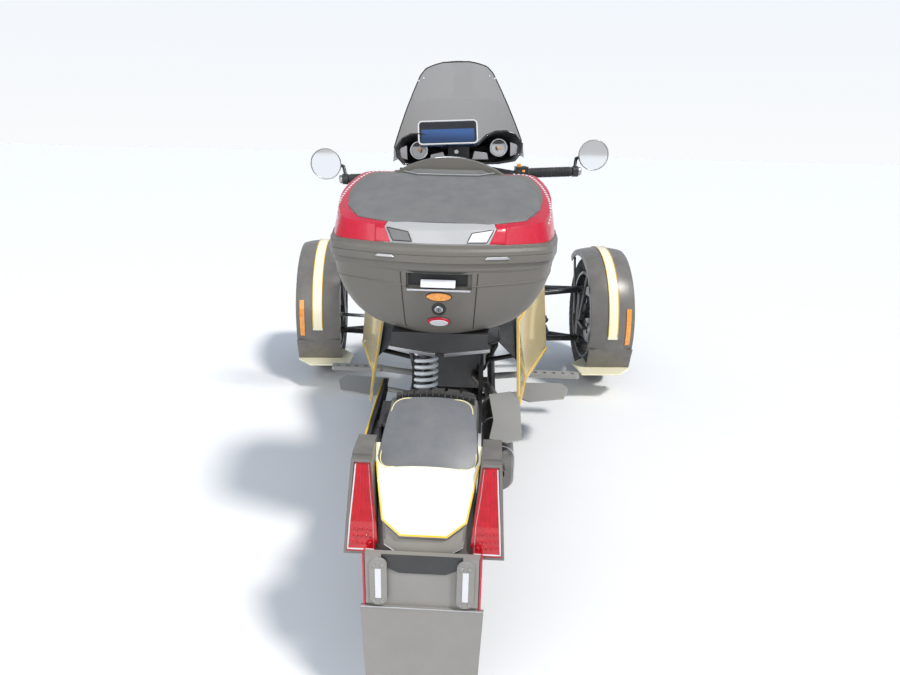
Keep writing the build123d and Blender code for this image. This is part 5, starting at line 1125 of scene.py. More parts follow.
# Dials under the humps: chrome bezel, silver face with marks, pointer and cap
dialShape = {"place": (0.150, 0.362, 1.092), "radius": 0.031, "marks": 11, "sweep": 250.0,
             "markRing": 0.70, "mark": [(-0.0026, -0.0006), (0.0026, -0.0006), (0.0026, 0.0006), (-0.0026, 0.0006)],
             "pointers": {-1: -70, 1: -110}, "pointerReach": 0.72,
             "cap": [(0.0042, 0.0016), (0.0042, 0.0040), (0.0030, 0.0050), (0, 0.0050)],
             "lampPlace": (-0.010, 0.352, 1.083), "lamp": [(0.0095, 0), (0.0095, 0.006), (0.0075, 0.009), (0, 0.009)]}
bezels, dialFaces, dialMarks, pointers = bmesh.new(), bmesh.new(), bmesh.new(), bmesh.new()
for side in (-1, 1):
    x, y, z = dialShape["place"]
    radius = dialShape["radius"]
    matrix = alongMatrix((side * x, y, z), (0, -1, 0.12), (0, 0, 1))
    addLathe(bezels, [(radius + 0.0035, -0.012), (radius + 0.0035, 0.004), (radius + 0.0015, 0.0075),
                      (radius - 0.002, 0.0075), (radius - 0.0045, 0.002)], 48, matrix)
    addLathe(dialFaces, [(radius - 0.002, 0.0016), (0, 0.0016)], 48, matrix)
    for i in range(dialShape["marks"]):
        angle = radians(90 + dialShape["sweep"] / 2 - dialShape["sweep"] * i / (dialShape["marks"] - 1))
        reach = dialShape["markRing"]
        spot = (Matrix.Translation((cos(angle) * radius * reach, sin(angle) * radius * reach, 0.0016))
                @ Matrix.Rotation(angle, 4, "Z"))
        addPrism(dialMarks, dialShape["mark"], 0.0005, matrix @ spot)
    angle = radians(90 + dialShape["pointers"][side])
    turn = matrix @ Matrix.Translation((0, 0, 0.0026)) @ Matrix.Rotation(angle, 4, "Z")
    reach = radius * dialShape["pointerReach"]
    addPrism(pointers, [(-0.006, -0.0012), (reach, -0.0003), (reach, 0.0003), (-0.006, 0.0012)], 0.0008, turn)
    addLathe(pointers, dialShape["cap"], 20, matrix)
# a small lamp between the dials
addLathe(bezels, dialShape["lamp"], 24, alongMatrix(dialShape["lampPlace"], (0, -1, 0.1)))
steeredPiece("dialBezels", bezels, "chrome")
steeredPiece("dialFaces", dialFaces, "stripSilver")
steeredPiece("dialMarks", dialMarks, "labelWhite")
steeredPiece("dialPointers", pointers, "orange")

# Bead round the cowl's rear edge and pale brackets inside it
cowlShape = {"edge": [(0.150, 1.036), (0.212, 1.044), (0.236, 1.072), (0.240, 1.104), (0.214, 1.138), (0.180, 1.153),
                      (0.140, 1.153), (0.104, 1.140), (0.072, 1.110)],
             "middle": (0, 0.3445, 1.094), "inset": 0.0025, "bead": 0.0036,
             "brackets": (([(0.050, 1.052), (0.112, 1.050), (0.106, 1.074), (0.060, 1.082)], 0.376, 0.006),
                          ([(0.196, 1.058), (0.220, 1.066), (0.224, 1.100), (0.196, 1.110)], 0.380, 0.005))}
cowlMiddle = Vector(cowlShape["middle"])
cowlLoop = [Vector((x, cowlMiddle.y, z)) for x, z in cowlShape["edge"] + sided(cowlShape["edge"], -1)[::-1]]
form = bmesh.new()
addTube(form, [p + (cowlMiddle - p).normalized() * cowlShape["inset"] for p in cowlLoop], cowlShape["bead"], 10,
        closed=True)
steeredPiece("cowlBead", form, "glossBlack")
form = bmesh.new()
for side in (-1, 1):
    for outline, y, depth in cowlShape["brackets"]:
        addPrism(form, sided(outline, side)[::side], depth, Matrix.Translation((0, y, 0)) @ backward)
steeredPiece("cowlBrackets", form, "strip")

# Screen: a dark rounded edge and four screws
screenShape = {"edge": [(0.249, 1.099), (0.2435, 1.142), (0.222, 1.198), (0.196, 1.256), (0.165, 1.318),
                        (0.136, 1.366), (0.112, 1.3835), (0.060, 1.3975), (0.0, 1.3985)], "middle": (0, 1.24),
               "bead": 0.0022,
               "screws": [(-0.140, 1.337), (-0.122, 1.3465), (0.122, 1.3465), (0.140, 1.337)]}
screen = steeredBehind("windshield")
edgePath = sided(screenShape["edge"], -1) + screenShape["edge"][-2::-1]


def nearEdge(where, x, z, middle):
    # the surface at a place, or the nearest to it on the way to the middle
    for i in range(60):
        share = i * 0.004
        try:
            return where(*between((x, z), middle, share))[0]
        except ValueError:
            continue
    raise ValueError((x, z))


rows = []
for start, end in zip(edgePath, edgePath[1:]):
    rows += [nearEdge(screen, *between(start, end, i, 5), screenShape["middle"]) for i in range(5)]
form = bmesh.new()
addTube(form, [p + Vector((0, 0.002, 0)) for p in rows], screenShape["bead"], 8)
steeredPiece("screenEdge", form, "glossBlack")
form = bmesh.new()
for x, z in screenShape["screws"]:
    place, normal = screen(x, z)
    addLathe(form, [(0.0045, 0), (0.0045, 0.001), (0.003, 0.0022), (0, 0.0022)], 18, alongMatrix(place, normal))
steeredPiece("screenScrews", form, "chrome")

# Grips with ribs, switch housings' buttons, levers, bar weights and hoses
barShape = {"y": 0.262, "z": 1.006, "gripFrom": 0.250, "gripTo": 0.410, "radius": 0.0168, "ribs": 26,
            "weight": [(0, 0.4285), (0.0135, 0.4285), (0.0150, 0.4310), (0.0150, 0.4400), (0.0120, 0.4440),
                       (0, 0.4440)],
            "lever": [(0.221, 0.292, 1.004), (0.236, 0.312, 1.003), (0.270, 0.322, 1.002), (0.330, 0.318, 1.000),
                      (0.392, 0.308, 0.998)], "leverRadius": 0.0048,
            "leverEnd": [(0, -0.0075), (0.005, -0.006), (0.0072, -0.001), (0.0072, 0.002), (0.005, 0.0065),
                         (0, 0.0078)],
            "switchX": 0.221, "lock": (0.282, 1.004), "buttonFace": (0.240, 1.006),
            "buttons": ((-0.010, 0.010), (0.008, 0.010), (-0.002, -0.008)), "button": (0.011, 0.008, 0.002),
            "topButton": (0.017, 0.013, 0.004), "topButtonPlace": (0.214, 0.256, 1.0300),
            "hose": [(0.212, 0.282, 0.985), (0.200, 0.312, 0.955), (0.160, 0.352, 0.945), (0.100, 0.388, 0.962),
                     (0.040, 0.398, 0.985), (0.020, 0.388, 0.992)], "hoseRadius": 0.0042}


def sidedPlace(place, side):
    return side * place[0], place[1], place[2]


gripForm, weightForm, leverForm, buttonForm, redForm, hoseForm = (bmesh.new() for i in range(6))
for side in (-1, 1):
    matrix = alongMatrix((0, barShape["y"], barShape["z"]), (side, 0, 0))
    low, high, radius = barShape["gripFrom"], barShape["gripTo"], barShape["radius"]
    profile = [(0.012, low - 0.006), (radius + 0.006, low - 0.006), (radius + 0.006, low - 0.001), (radius, low)]
    pitch = (high - low - 0.016) / barShape["ribs"]
    for i in range(barShape["ribs"]):
        start = low + 0.008 + i * pitch
        profile += [(radius, start), (radius + 0.0012, start + pitch * 0.2), (radius + 0.0012, start + pitch * 0.6),
                    (radius, start + pitch * 0.8)]
    profile += [(radius, high - 0.001), (radius - 0.001, high), (0.012, high)]
    addLathe(gripForm, profile, 36, matrix)
    addLathe(weightForm, barShape["weight"], 32, matrix)
    leverPath = [sidedPlace(place, side) for place in barShape["lever"]]
    addTube(leverForm, leverPath, barShape["leverRadius"], 12)
    addLathe(leverForm, barShape["leverEnd"], 20, alongMatrix(leverPath[-1], (side, 0, 0)))
    x = side * barShape["switchX"]
    addPrism(buttonForm, roundedOutline(0.030, 0.020, 0.004), 0.016, alongMatrix((x, *barShape["lock"]), (0, 1, 0)))
    y, z = barShape["buttonFace"]
    for i, (dx, dz) in enumerate(barShape["buttons"]):
        target = redForm if side == 1 and i == 1 else buttonForm
        addPrism(target, roundedOutline(*barShape["button"]), 0.004, alongMatrix((x + dx, y, z + dz), (0, -1, 0)), 0.15)
    addPrism(redForm if side == 1 else buttonForm, roundedOutline(*barShape["topButton"]), 0.010,
             alongMatrix(sidedPlace(barShape["topButtonPlace"], side), (0, -0.3, 1)), 0.2)
    addTube(hoseForm, [sidedPlace(place, side) for place in barShape["hose"]], barShape["hoseRadius"], 10)
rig.replaces(steeredPiece("gripRubber", gripForm, "rubber"), "grips")
steeredPiece("barWeights", weightForm, "boltZinc")
steeredPiece("levers", leverForm, "strip")
steeredPiece("switchButtons", buttonForm, "glossBlack")
steeredPiece("switchRed", redForm, "orange")
steeredPiece("barHoses", hoseForm, "rubber")

# Bright ring round each mirror's glass
mirrorShape = {"place": (0.489, 0.262, 1.062), "radius": 0.0535, "ring": 0.0020}
form = bmesh.new()
for side in (-1, 1):
    x, y, z = mirrorShape["place"]
    radius = mirrorShape["radius"]
    ring = [(side * x + dx, y - 0.0004, z + dz) for dx, dz in ellipse((0, 0), radius, radius, 48)]
    addTube(form, ring, mirrorShape["ring"], 8, closed=True)
steeredPiece("mirrorRings", form, "boltZinc")
print("cockpit made")

# Tail: panel and pad edges, lamp ribs, plate brackets and side markers
tailDetail = {"padTilt": 28.0, "pad": [(-0.0925, 0.0905), (0.0925, 0.0905), (0.1105, -0.0945), (-0.1105, -0.0945)],
              "padCorner": 0.032, "panelTilt": 54.0,
              "panelEdge": [(-0.1060, 0.078), (-0.0840, -0.0355), (-0.0460, -0.0645), (0.0460, -0.0645),
                            (0.0840, -0.0355), (0.1060, 0.078)],
              "lipUpper": [(-0.086, -0.041), (-0.047, -0.071), (0.047, -0.071), (0.086, -0.041)],
              "lipLower": [(-0.0795, -0.083), (-0.0475, -0.1015), (0.0475, -0.1015), (0.0795, -0.083)],
              "lampRows": [(0.578, 0.1165, 0.1435), (0.530, 0.1120, 0.1465), (0.470, 0.1035, 0.1510),
                           (0.413, 0.1010, 0.1545)],
              "bracketX": 0.087, "bracketZ": (0.310, 0.424), "bracketWidth": 0.036, "bracketLift": 0.0042,
              "stripWidth": 0.012, "stripZ": (0.329, 0.399), "padEdgeShare": (0.925, 0.940),
              "padEdgeRadius": 0.0011, "panelEdgeRadius": 0.0019, "lipEdgeRadius": 0.0012,
              "lampRibs": (0.2, 0.4, 0.6, 0.8), "lampRibRadius": 0.0009, "lampFrameRadius": 0.0016,
              "lensletHeights": (0.426, 0.440, 0.454), "lensletShares": (0.14, 0.32, 0.50, 0.68, 0.86),
              "lenslet": [(0.0040, -0.0004), (0.0034, 0.0010), (0.0018, 0.0018), (0, 0.0020)],
              "plateY": -1.1752, "screwX": 0.0085, "screwZ": (0.0125, 0.0155), "screwRadius": 0.0030,
              "markerWidth": 0.0042, "markerDepth": 0.0200, "flapEdge": (0.124, 0.303),
              # shade: outline of a painted shadow on the plate, under the fender's lip
              "shade": [(-0.104, 0.427), (0.104, 0.427), (0.096, 0.414), (0.060, 0.392), (0.046, 0.386),
                        (-0.046, 0.386), (-0.060, 0.392), (-0.096, 0.414)],
              "armX": -0.199, "armLine": ((-0.334, 0.437), (-0.486, 0.4345), (-0.752, 0.412)), "armRadius": 0.0030,
              "markerX": 0.1168, "markerZ": (0.298, 0.426), "ribs": 13, "ribRange": (-0.088, 0.094), "ribTilt": 8.6}


def fromTilt(nodeNames, tilt):
    # the rear fender's panels seen square on, at an angle behind the fender's top
    turn = rearAxle @ Matrix.Rotation(radians(tilt), 4, "X")
    return lambda x, y: meet(nodeNames, turn @ Vector((x, y, 0.70)), turn.to_3x3() @ Vector((0, 0, -1)))


def follow(outline, where, most, lift):
    # a path over a surface through the outline's corners, with points no further apart than most
    rows = dense(outline, most)
    return lifted(rows[:rows.index(outline[-1]) + 1], where, lift)


def roundCorners(outline, corner, steps=6):
    # the outline with each corner turned by an arc-like curve
    rows = []
    for i, spot in enumerate(outline):
        before, after = Vector(outline[i - 1]), Vector(outline[(i + 1) % len(outline)])
        spot = Vector(spot)
        start, end = spot + (before - spot).normalized() * corner, spot + (after - spot).normalized() * corner
        for step in range(steps + 1):
            share = step / steps
            rows.append(tuple(start * (1 - share) ** 2 + spot * 2 * share * (1 - share) + end * share ** 2))
    return rows


def addStrip(form, first, second, where, lift, parts=4):
    # a raised strip over a surface between two paths of as many points, its edges let into the surface
    shares = [(0.0, -0.0010)] + [(i / parts, lift) for i in range(parts + 1)] + [(1.0, -0.0010)]
    rows = []
    for share, height in shares:
        row = []
        for a, b in zip(first, second):
            place, normal = where(*between(a, b, share))
            row.append(form.verts.new(place + normal * height))
        rows.append(row)
    for low, high in zip(rows, rows[1:]):
        for i in range(len(low) - 1):
            form.faces.new((low[i], low[i + 1], high[i + 1], high[i]))


panelFace = fromTilt("fender_panel", tailDetail["panelTilt"])
line("panelEdges", [follow(tailDetail["panelEdge"], panelFace, 0.012, 0.0004)], tailDetail["panelEdgeRadius"],
     "chassis", "yellow", 10)
form = bmesh.new()
lipBack = fromTilt("rear_fender", tailDetail["panelTilt"])
addStrip(form, split(tailDetail["lipUpper"], 6), split(tailDetail["lipLower"], 6), lipBack, 0.0010)
fromBmesh("fenderLipFace", form, "chassis", "lipGrey")
line("lipEdge", [follow(tailDetail["lipLower"], lipBack, 0.010, 0.0008)], tailDetail["lipEdgeRadius"], "chassis",
     "strip")
padEdge = roundCorners(tailDetail["pad"], tailDetail["padCorner"], 8)
padFace = fromTilt("fender_pad", tailDetail["padTilt"])
across, down = tailDetail["padEdgeShare"]
padLoop = [(x * across, y * down) for x, y in padEdge]
line("padEdge", [lifted(padLoop, padFace, 0.0002)], tailDetail["padEdgeRadius"], "chassis", "stripeYellow", 8,
     closed=True)

# Lamps: ribs down each lens, lenslets above its foot and a pale frame along its outer side
lampBack = fromBehind("tail_lamps")
for side, sideName in sideNames.items():
    rows = tailDetail["lampRows"]
    outer = [(side * row[2], row[0]) for row in rows]
    inner = [(side * row[1], row[0]) for row in rows]
    frame = follow(outer + inner[::-1][:1], lampBack, 0.010, 0.0006)
    line("lampFrame" + sideName, [frame], tailDetail["lampFrameRadius"], "chassis", "labelWhite", 8)
    line("lampInnerLine" + sideName, [follow(inner, lampBack, 0.010, 0.0004)], tailDetail["lampRibRadius"], "chassis",
         "strip", 6)
    ribs = []
    for share in tailDetail["lampRibs"]:
        path = [(side * (row[1] + (row[2] - row[1]) * share), row[0] - 0.002) for row in rows[:-1]]
        ribs.append(follow(path, lampBack, 0.010, 0.0002))
    line("lampRibs" + sideName, ribs, tailDetail["lampRibRadius"], "chassis", "bandRed", 6)
    form = bmesh.new()
    for level in tailDetail["lensletHeights"]:
        for share in tailDetail["lensletShares"]:
            low, high = rows[3], rows[2]
            part = (level - low[0]) / (high[0] - low[0])
            near, far = low[1] + (high[1] - low[1]) * part, low[2] + (high[2] - low[2]) * part
            place, normal = lampBack(side * (near + (far - near) * share), level)
            addLathe(form, tailDetail["lenslet"], 10, alongMatrix(place, normal))
    fromBmesh("lampLenslets" + sideName, form, "chassis", "lampRed")

# Plate brackets with a white strip and two screws at either end, markers at both sides
plateY = tailDetail["plateY"]
for side, sideName in sideNames.items():
    low, high = tailDetail["bracketZ"]
    middle = Matrix.Translation((side * tailDetail["bracketX"], plateY + 0.0012, (low + high) / 2)) @ backward
    prism("plateBracket" + sideName, "chassis", "flapGrey",
          roundedOutline(tailDetail["bracketWidth"], high - low, 0.0160, 8), tailDetail["bracketLift"], middle, 0.03)
    stripLow, stripHigh = tailDetail["stripZ"]
    prism("plateStrip" + sideName, "chassis", "labelWhite",
          roundedOutline(tailDetail["stripWidth"], stripHigh - stripLow, 0.0010, 2), 0.0012,
          middle @ Matrix.Translation((0, (stripLow + stripHigh) / 2 - (low + high) / 2, 0.0040)))
    face = plateY + 0.0012 - tailDetail["bracketLift"]
    lowInset, highInset = tailDetail["screwZ"]
    screws = []
    for way in (-1, 1):
        x = side * tailDetail["bracketX"] + way * tailDetail["screwX"]
        screws += [((x, face, z), (0, -1, 0), tailDetail["screwRadius"]) for z in (low + lowInset, high - highInset)]
    boltSet("plateScrews" + sideName, screws, "chassis")
    low, high = tailDetail["markerZ"]
    prism("sideMarker" + sideName, "chassis", "bandRed",
          roundedOutline(tailDetail["markerWidth"], high - low, 0.0010, 2), tailDetail["markerDepth"],
          Matrix.Translation((side * tailDetail["markerX"], plateY + 0.0230, (low + high) / 2)) @ backward)
# a dark sheet on the plate: painted shadow under the fender's lip
prism("plateShade", "chassis", "bodyBlack", tailDetail["shade"], 0.0035,
      Matrix.Translation((0, plateY + 0.0080, 0)) @ backward)
x, z = tailDetail["flapEdge"]
line("flapEdge", [[Vector((-x, plateY + 0.0006, z)), Vector((x, plateY + 0.0006, z))]], 0.0016, "chassis", "strip", 8)

# Ribbed strip on the fender's crown ahead of the pad
form = bmesh.new()
first, last = tailDetail["ribRange"]
pitch = (last - first) / tailDetail["ribs"]
for i in range(tailDetail["ribs"]):
    place, normal = fromTilt("rear_fender", tailDetail["ribTilt"])(first + pitch * (i + 0.5), 0.0)
    addPrism(form, roundedOutline(pitch * 0.80, 0.017, 0.002, 3), 0.017,
             Matrix.Translation(place - normal * 0.0006) @ Matrix.Rotation(radians(tailDetail["ribTilt"]), 4, "X"),
             0.12)
fromBmesh("crownRibs", form, "chassis", "rubber")

# Yellow line down the outer edge of the arm's cover
armPath = [Vector((tailDetail["armX"], y, z)) for y, z in tailDetail["armLine"]]
line("armLine", [armPath], tailDetail["armRadius"], "chassis", "yellow", 10)
print("tail details made")

# Wheels: nuts and a cap on each face
wheelDetail = {"front": {"nuts": 5, "nutRing": 0.050, "nutRadius": 0.0085, "cap": 0.0240},
               "rear": {"nuts": 5, "nutRing": 0.056, "nutRadius": 0.0095, "cap": 0.0300},
               "capShape": ((1, -0.004), (1, 0.005), (0.93, 0.0075), (0.5, 0.0095), (0, 0.0100))}


def dressWheel(name, matrix, nodeName, row, body):
    # the face is found along the axle, so nuts and cap sit on the spokes
    nuts, caps = bmesh.new(), bmesh.new()
    outward = matrix.to_3x3() @ Vector((1, 0, 0))
    for i in range(row["nuts"]):
        angle = radians(90 + 360 * i / row["nuts"])
        start = matrix @ Vector((0.30, cos(angle) * row["nutRing"], sin(angle) * row["nutRing"]))
        place, normal = meet(nodeName, start, -outward)
        addBolt(nuts, place, outward, row["nutRadius"])
    radius = row["cap"]
    rim = Vector((0.30, 0, radius * 0.95))
    place, normal = meet(nodeName, matrix @ rim, -outward)
    place = place - matrix.to_3x3() @ Vector((0, 0, rim.z))
    addLathe(caps, scaled(wheelDetail["capShape"], radius), 40, alongMatrix(place, outward))
    fromBmesh(name + "Nuts", nuts, body, "boltZinc")
    fromBmesh(name + "Cap", caps, body, "alloyBlack")


for side, sideName in sideNames.items():
    dressWheel("frontWheel" + sideName, cornerMatrix(side), "front_wheel_" + sideName.lower(), wheelDetail["front"],
               "front_wheel_body_" + sideName.lower())
dressWheel("rearWheel", rearAxle, "rear_wheel", wheelDetail["rear"], "rear_wheel_body")
print("wheel details made")

# The seat: a padded cover that follows sections from front to rear, and seams across it
seatShape = {"sections": [(0.012, 0.200, 0.552, 0.640, 0.040), (-0.130, 0.290, 0.530, 0.602, 0.034),
                          (-0.280, 0.330, 0.548, 0.606, 0.028), (-0.368, 0.250, 0.596, 0.686, 0.036)],
             "rows": 64, "swell": 0.009, "seams": (-0.060, -0.190, -0.300)}  # sections: y, width, low, high, corner


def seatRow(y):
    # width, low, high and corner between the two nearest sections
    rows = seatShape["sections"]
    for near, far in zip(rows, rows[1:]):
        if far[0] <= y <= near[0]:
            share = (near[0] - y) / (near[0] - far[0])
            return [a + (b - a) * share for a, b in zip(near[1:], far[1:])]
    return list((rows[0] if y > rows[0][0] else rows[-1])[1:])


def seatLoop(y, grow=0.0):
    width, low, high, round_ = seatRow(y)
    outline = roundedOutline(width + 2 * grow, high - low + 2 * grow, round_, 13)
    return [Vector((x, y, (low + high) / 2 + z)) for x, z in outline]


form = bmesh.new()
first, last = seatShape["sections"][0][0], seatShape["sections"][-1][0]
levels = []
for i in range(seatShape["rows"] + 1):
    y = first + (last - first) * i / seatShape["rows"]
    loop = []
    bounds = [first, *seatShape["seams"], last]
    share = next((near - y) / (near - far) for near, far in zip(bounds, bounds[1:]) if y >= far - 1e-9)
    swell = seatShape["swell"] * max(0.0, sin(pi * share)) ** 0.6
    for place in seatLoop(y):
        loop.append(form.verts.new(place + Vector((0, 0, swell if place.z > sum(seatRow(y)[1:3]) / 2 else 0))))
    levels.append(loop)
for low, high in zip(levels, levels[1:]):
    for i in range(len(low)):
        j = (i + 1) % len(low)
        form.faces.new((low[i], low[j], high[j], high[i]))
form.faces.new(levels[0][::-1])
form.faces.new(levels[-1])
cushion = fromBmesh("seatCover", form, "chassis", "seatBlack")
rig.replaces(cushion, "seat")
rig.padded(cushion, fill=0.9)
seams = [[place + Vector((0, 0, 0.0008)) for place in seatLoop(y, 0.0002)] for y in seatShape["seams"]]
line("seatSeams", seams, 0.0016, "chassis", "rubber", 8, closed=True)
print("seat made")

# Front: lamp reflectors and mesh over the grille
frontDetail = {"lampX": 0.050, "lampZ": 0.484, "lampY": 1.1085, "reflectors": ((-0.016, 0.020), (0.018, 0.013)),
               "bowl": ((1, 0.0008), (1, -0.0024), (0.75, -0.0040), (0.3, -0.0052), (0, -0.0030)),
               "grilleY": 1.0570, "grille": (0.136, 0.206, 0.382), "pitch": 0.020, "wire": 0.0018}
reflectors = bmesh.new()
for side in (-1, 1):
    for offset, radius in frontDetail["reflectors"]:
        place = side * (frontDetail["lampX"] + offset), frontDetail["lampY"] - 0.0005, frontDetail["lampZ"]
        addLathe(reflectors, scaled(frontDetail["bowl"], radius), 36, alongMatrix(place, (0, 1, 0)))
fromBmesh("lampReflectors", reflectors, "chassis", "chrome")
halfWidth, lowZ, highZ = frontDetail["grille"]
bars = []
y = frontDetail["grilleY"]
count = int((highZ - lowZ) / frontDetail["pitch"])
for i in range(count + 1):
    z = lowZ + (highZ - lowZ) * i / count
    bars.append([Vector((-halfWidth, y, z)), Vector((halfWidth, y, z))])
count = int(2 * halfWidth / frontDetail["pitch"])
for i in range(count + 1):
    x = -halfWidth + 2 * halfWidth * i / count
    bars.append([Vector((x, y + 0.0012, lowZ)), Vector((x, y + 0.0012, highZ))])
line("grilleMesh", bars, frontDetail["wire"], "chassis", "alloyBlack", 6)
print("front made")

# Front fenders: golden lines down both edges of each stripe
fenderDetail = {"stripeHalf": 0.0208, "stripeRange": (-28.0, 90.0), "radius": 0.0019, "steps": 42}


def fromAxle(nodeNames, side):
    # the fender seen square on from outside; angle 0 is straight above the axle, positive behind it
    matrix = cornerMatrix(side)

    def where(x, angle):
        way = Vector((0, -sin(radians(angle)), cos(radians(angle))))
        return meet(nodeNames, matrix @ (Vector((x, 0, 0)) + way * 0.60), matrix.to_3x3() @ -way)
    return where


for side, sideName in sideNames.items():
    knuckle = "knuckle_body_" + sideName.lower()
    stripe = fromAxle("fender_trim_" + sideName.lower(), side)
    low, high = fenderDetail["stripeRange"]
    edges = []
    for way in (-1, 1):
        x = way * fenderDetail["stripeHalf"]
        edges.append(along(stripe, (x, low), (x, high), fenderDetail["steps"], 0.0002))
    line("stripeEdges" + sideName, edges, fenderDetail["radius"], knuckle, "yellow", 8)
print("front fenders made")

# Side panels: coloured edges, a dark slatted inset and screws
sideDetail = {"upper": [(0.545, 0.704), (0.180, 0.666), (-0.160, 0.586), (-0.425, 0.440)],
              "lower": [(0.545, 0.446), (0.180, 0.374), (-0.160, 0.392), (-0.425, 0.412)],
              "inset": [(0.470, 0.500), (0.240, 0.440), (0.215, 0.560), (0.300, 0.640), (0.470, 0.662)],
              "edgeRadius": 0.0030, "slats": 5, "slatRear": (0.255, 0.462, 0.120), "slatFront": (0.455, 0.515, 0.135),
              "slatRadius": 0.0034, "screwRadius": 0.0055,
              "screws": ((0.520, 0.690), (0.520, 0.470), (0.120, 0.640), (0.120, 0.395), (-0.240, 0.530))}
for side, sideName in sideNames.items():
    face = fromSide("side_panels", side)
    edges = [follow(sideDetail[key], face, 0.03, 0.0006) for key in ("upper", "lower")]
    line("sideEdges" + sideName, edges, sideDetail["edgeRadius"], "chassis", "yellow", 8)
    patch("sideInset" + sideName, dense(sideDetail["inset"], 0.02), face, 0.0016, "chassis", "bodyBlack", rings=5)
    slats = []
    for i in range(sideDetail["slats"]):
        share = (i + 0.5) / sideDetail["slats"]
        front, rear = ((y, low + rise * share) for y, low, rise in (sideDetail["slatFront"], sideDetail["slatRear"]))
        slats.append(along(face, front, rear, 8, 0.0030))
    line("sideSlats" + sideName, slats, sideDetail["slatRadius"], "chassis", "alloyBlack", 8)
    screws = [(*face(y, z), sideDetail["screwRadius"]) for y, z in sideDetail["screws"]]
    boltSet("sideScrews" + sideName, screws, "chassis")
print("side panels made")

# Hood: thin coloured panels on both slopes, a seam between them and screws
hoodDetail = {"panel": [(0.060, 1.020), (0.092, 1.015), (0.150, 0.760), (0.160, 0.600), (0.118, 0.560), (0.085, 0.760)],
              "seam": ((0.035, 1.050), (0.056, 0.540)), "screws": ((0.075, 0.990), (0.130, 0.640))}
hoodTop = fromAbove("hood")
for side, sideName in sideNames.items():
    panel = dense(sided(hoodDetail["panel"], side), 0.025)
    patch("hoodPanel" + sideName, panel, hoodTop, 0.0024, "chassis", "yellow", rings=6)
    boltSet("hoodScrews" + sideName, [(*hoodTop(side * x, y), 0.0050) for x, y in hoodDetail["screws"]], "chassis")
seams = [along(hoodTop, *sided(hoodDetail["seam"], side), 24) for side in (-1, 1)]
line("hoodSeams", seams, 0.0014, "chassis", "rubber", 6)

# Engine ribs, muffler bands and the bolts round the drive's cap
engineDetail = {"y": (0.150, 0.400), "z": (0.250, 0.430), "ribs": 7, "radius": 0.0042}
ribs = []
low, high = engineDetail["z"]
for side in (-1, 1):
    for i in range(engineDetail["ribs"]):
        z = low + (high - low) * i / (engineDetail["ribs"] - 1)
        ribs.append([meet("engine", (side * 0.5, y, z), (-side, 0, 0))[0] for y in engineDetail["y"]])
line("engineRibs", ribs, engineDetail["radius"], "chassis", "casting", 8)
mufflerDetail = {"middle": (0.158, 0.349), "bands": (-0.352, -0.520, -0.688), "radius": 0.0026}
bands = []
x, z = mufflerDetail["middle"]
for y in mufflerDetail["bands"]:
    loop = []
    for i in range(40):
        way = Vector((cos(2 * pi * i / 40), 0, sin(2 * pi * i / 40)))
        loop.append(meet("exhaust", Vector((x, y, z)) + way * 0.16, -way)[0])
    bands.append(loop)
line("mufflerBands", bands, mufflerDetail["radius"], "chassis", "strip", 8, closed=True)
driveDetail = {"middle": (-0.824, 0.3032), "bolts": 6, "first": 30, "ring": 0.046, "radius": 0.0070}
capBolts = []
y, z = driveDetail["middle"]
for i in range(driveDetail["bolts"]):
    angle = radians(driveDetail["first"] + 360 / driveDetail["bolts"] * i)
    start = Vector((-0.5, y + driveDetail["ring"] * cos(angle), z + driveDetail["ring"] * sin(angle)))
    capBolts.append((meet("final_drive", start, (1, 0, 0))[0], (-1, 0, 0), driveDetail["radius"]))
boltSet("driveBolts", capBolts, "chassis")
print("engine and drive made")

# Pale floor, sky and soft light
studio = {"floor": (0.86, 0.86, 0.87), "skyLow": (1.0, 0.99, 0.97, 1), "skyHigh": (0.72, 0.84, 1.0, 1),
          "skyStrength": 0.62, "sunStrength": 2.6, "sunSoft": 9.0, "sunPlace": (2.2, -1.6, 4.0),
          "sunColour": (1.0, 0.97, 0.92), "fillStrength": 60.0, "fillSize": 3.0, "fillPlace": (-1.5, -3.6, 2.6),
          "fillWay": (-1.5, -3.0, 2.2)}


def addLamp(name, kind, strength, place, way):
    lamp = bpy.data.lights.new(name, kind)
    lamp.energy = strength
    holder = bpy.data.objects.new(name, lamp)
    bpy.context.collection.objects.link(holder)
    holder.matrix_world = alongMatrix(place, way)
    return lamp


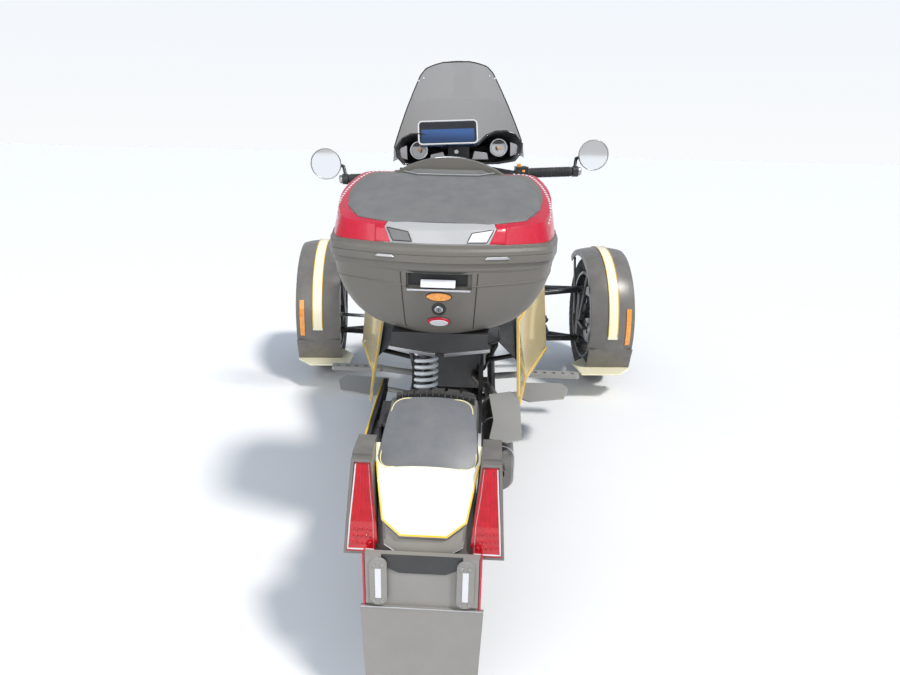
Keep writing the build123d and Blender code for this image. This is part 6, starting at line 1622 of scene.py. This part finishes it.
def makeStudio():
    form = bmesh.new()
    bmesh.ops.create_grid(form, x_segments=1, y_segments=1, size=14.0)
    mesh = bpy.data.meshes.new("floor")
    form.to_mesh(mesh)
    form.free()
    floor = bpy.data.objects.new("floor", mesh)
    bpy.context.collection.objects.link(floor)
    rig.stage(floor)
    tree, shader = newMaterial("floorPaint")
    speckle = placeGroup(tree, grainGroup, Scale=60.0, Depth=0.3)
    colour = mixColour(tree, speckle.outputs["Patch"], studio["floor"], tuple(c * 0.97 for c in studio["floor"]))
    tree.links.new(colour, shader.inputs["Base Color"])
    shader.inputs["Roughness"].default_value = 0.85
    mesh.materials.append(materials["floorPaint"])
    world = bpy.data.worlds.new("sky")
    bpy.context.scene.world = world
    world.use_nodes = True
    tree = world.node_tree
    background = tree.nodes["Background"]
    place = tree.nodes.new("ShaderNodeTexCoord")
    height = tree.nodes.new("ShaderNodeSeparateXYZ")
    tree.links.new(place.outputs["Generated"], height.inputs[0])
    ramp = tree.nodes.new("ShaderNodeMix")
    ramp.data_type = "RGBA"
    rise = math(tree, "MULTIPLY", height.outputs["Z"], 1.2)
    tree.links.new(math(tree, "ADD", rise, 0.25, clamp=True), ramp.inputs["Factor"])
    ramp.inputs[6].default_value = studio["skyLow"]
    ramp.inputs[7].default_value = studio["skyHigh"]
    tree.links.new(ramp.outputs[2], background.inputs["Color"])
    rays = tree.nodes.new("ShaderNodeLightPath")
    # what the camera sees of the sky is full bright, what lights the scene is not
    seen = math(tree, "MULTIPLY", rays.outputs["Is Camera Ray"], 1.0 - studio["skyStrength"])
    seen = math(tree, "ADD", seen, studio["skyStrength"])
    tree.links.new(seen, background.inputs["Strength"])
    sun = addLamp("keySun", "SUN", studio["sunStrength"], studio["sunPlace"], studio["sunPlace"])
    sun.angle, sun.color = radians(studio["sunSoft"]), studio["sunColour"]
    fill = addLamp("rearFill", "AREA", studio["fillStrength"], studio["fillPlace"], studio["fillWay"])
    fill.size = studio["fillSize"]
    bpy.context.scene.view_settings.view_transform = "Standard"


makeStudio()
with open("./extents.json", "w") as sizeFile:
    json.dump({"cad": [list(c) for c in cadBox], "visual": [list(c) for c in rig.bounds()]}, sizeFile)
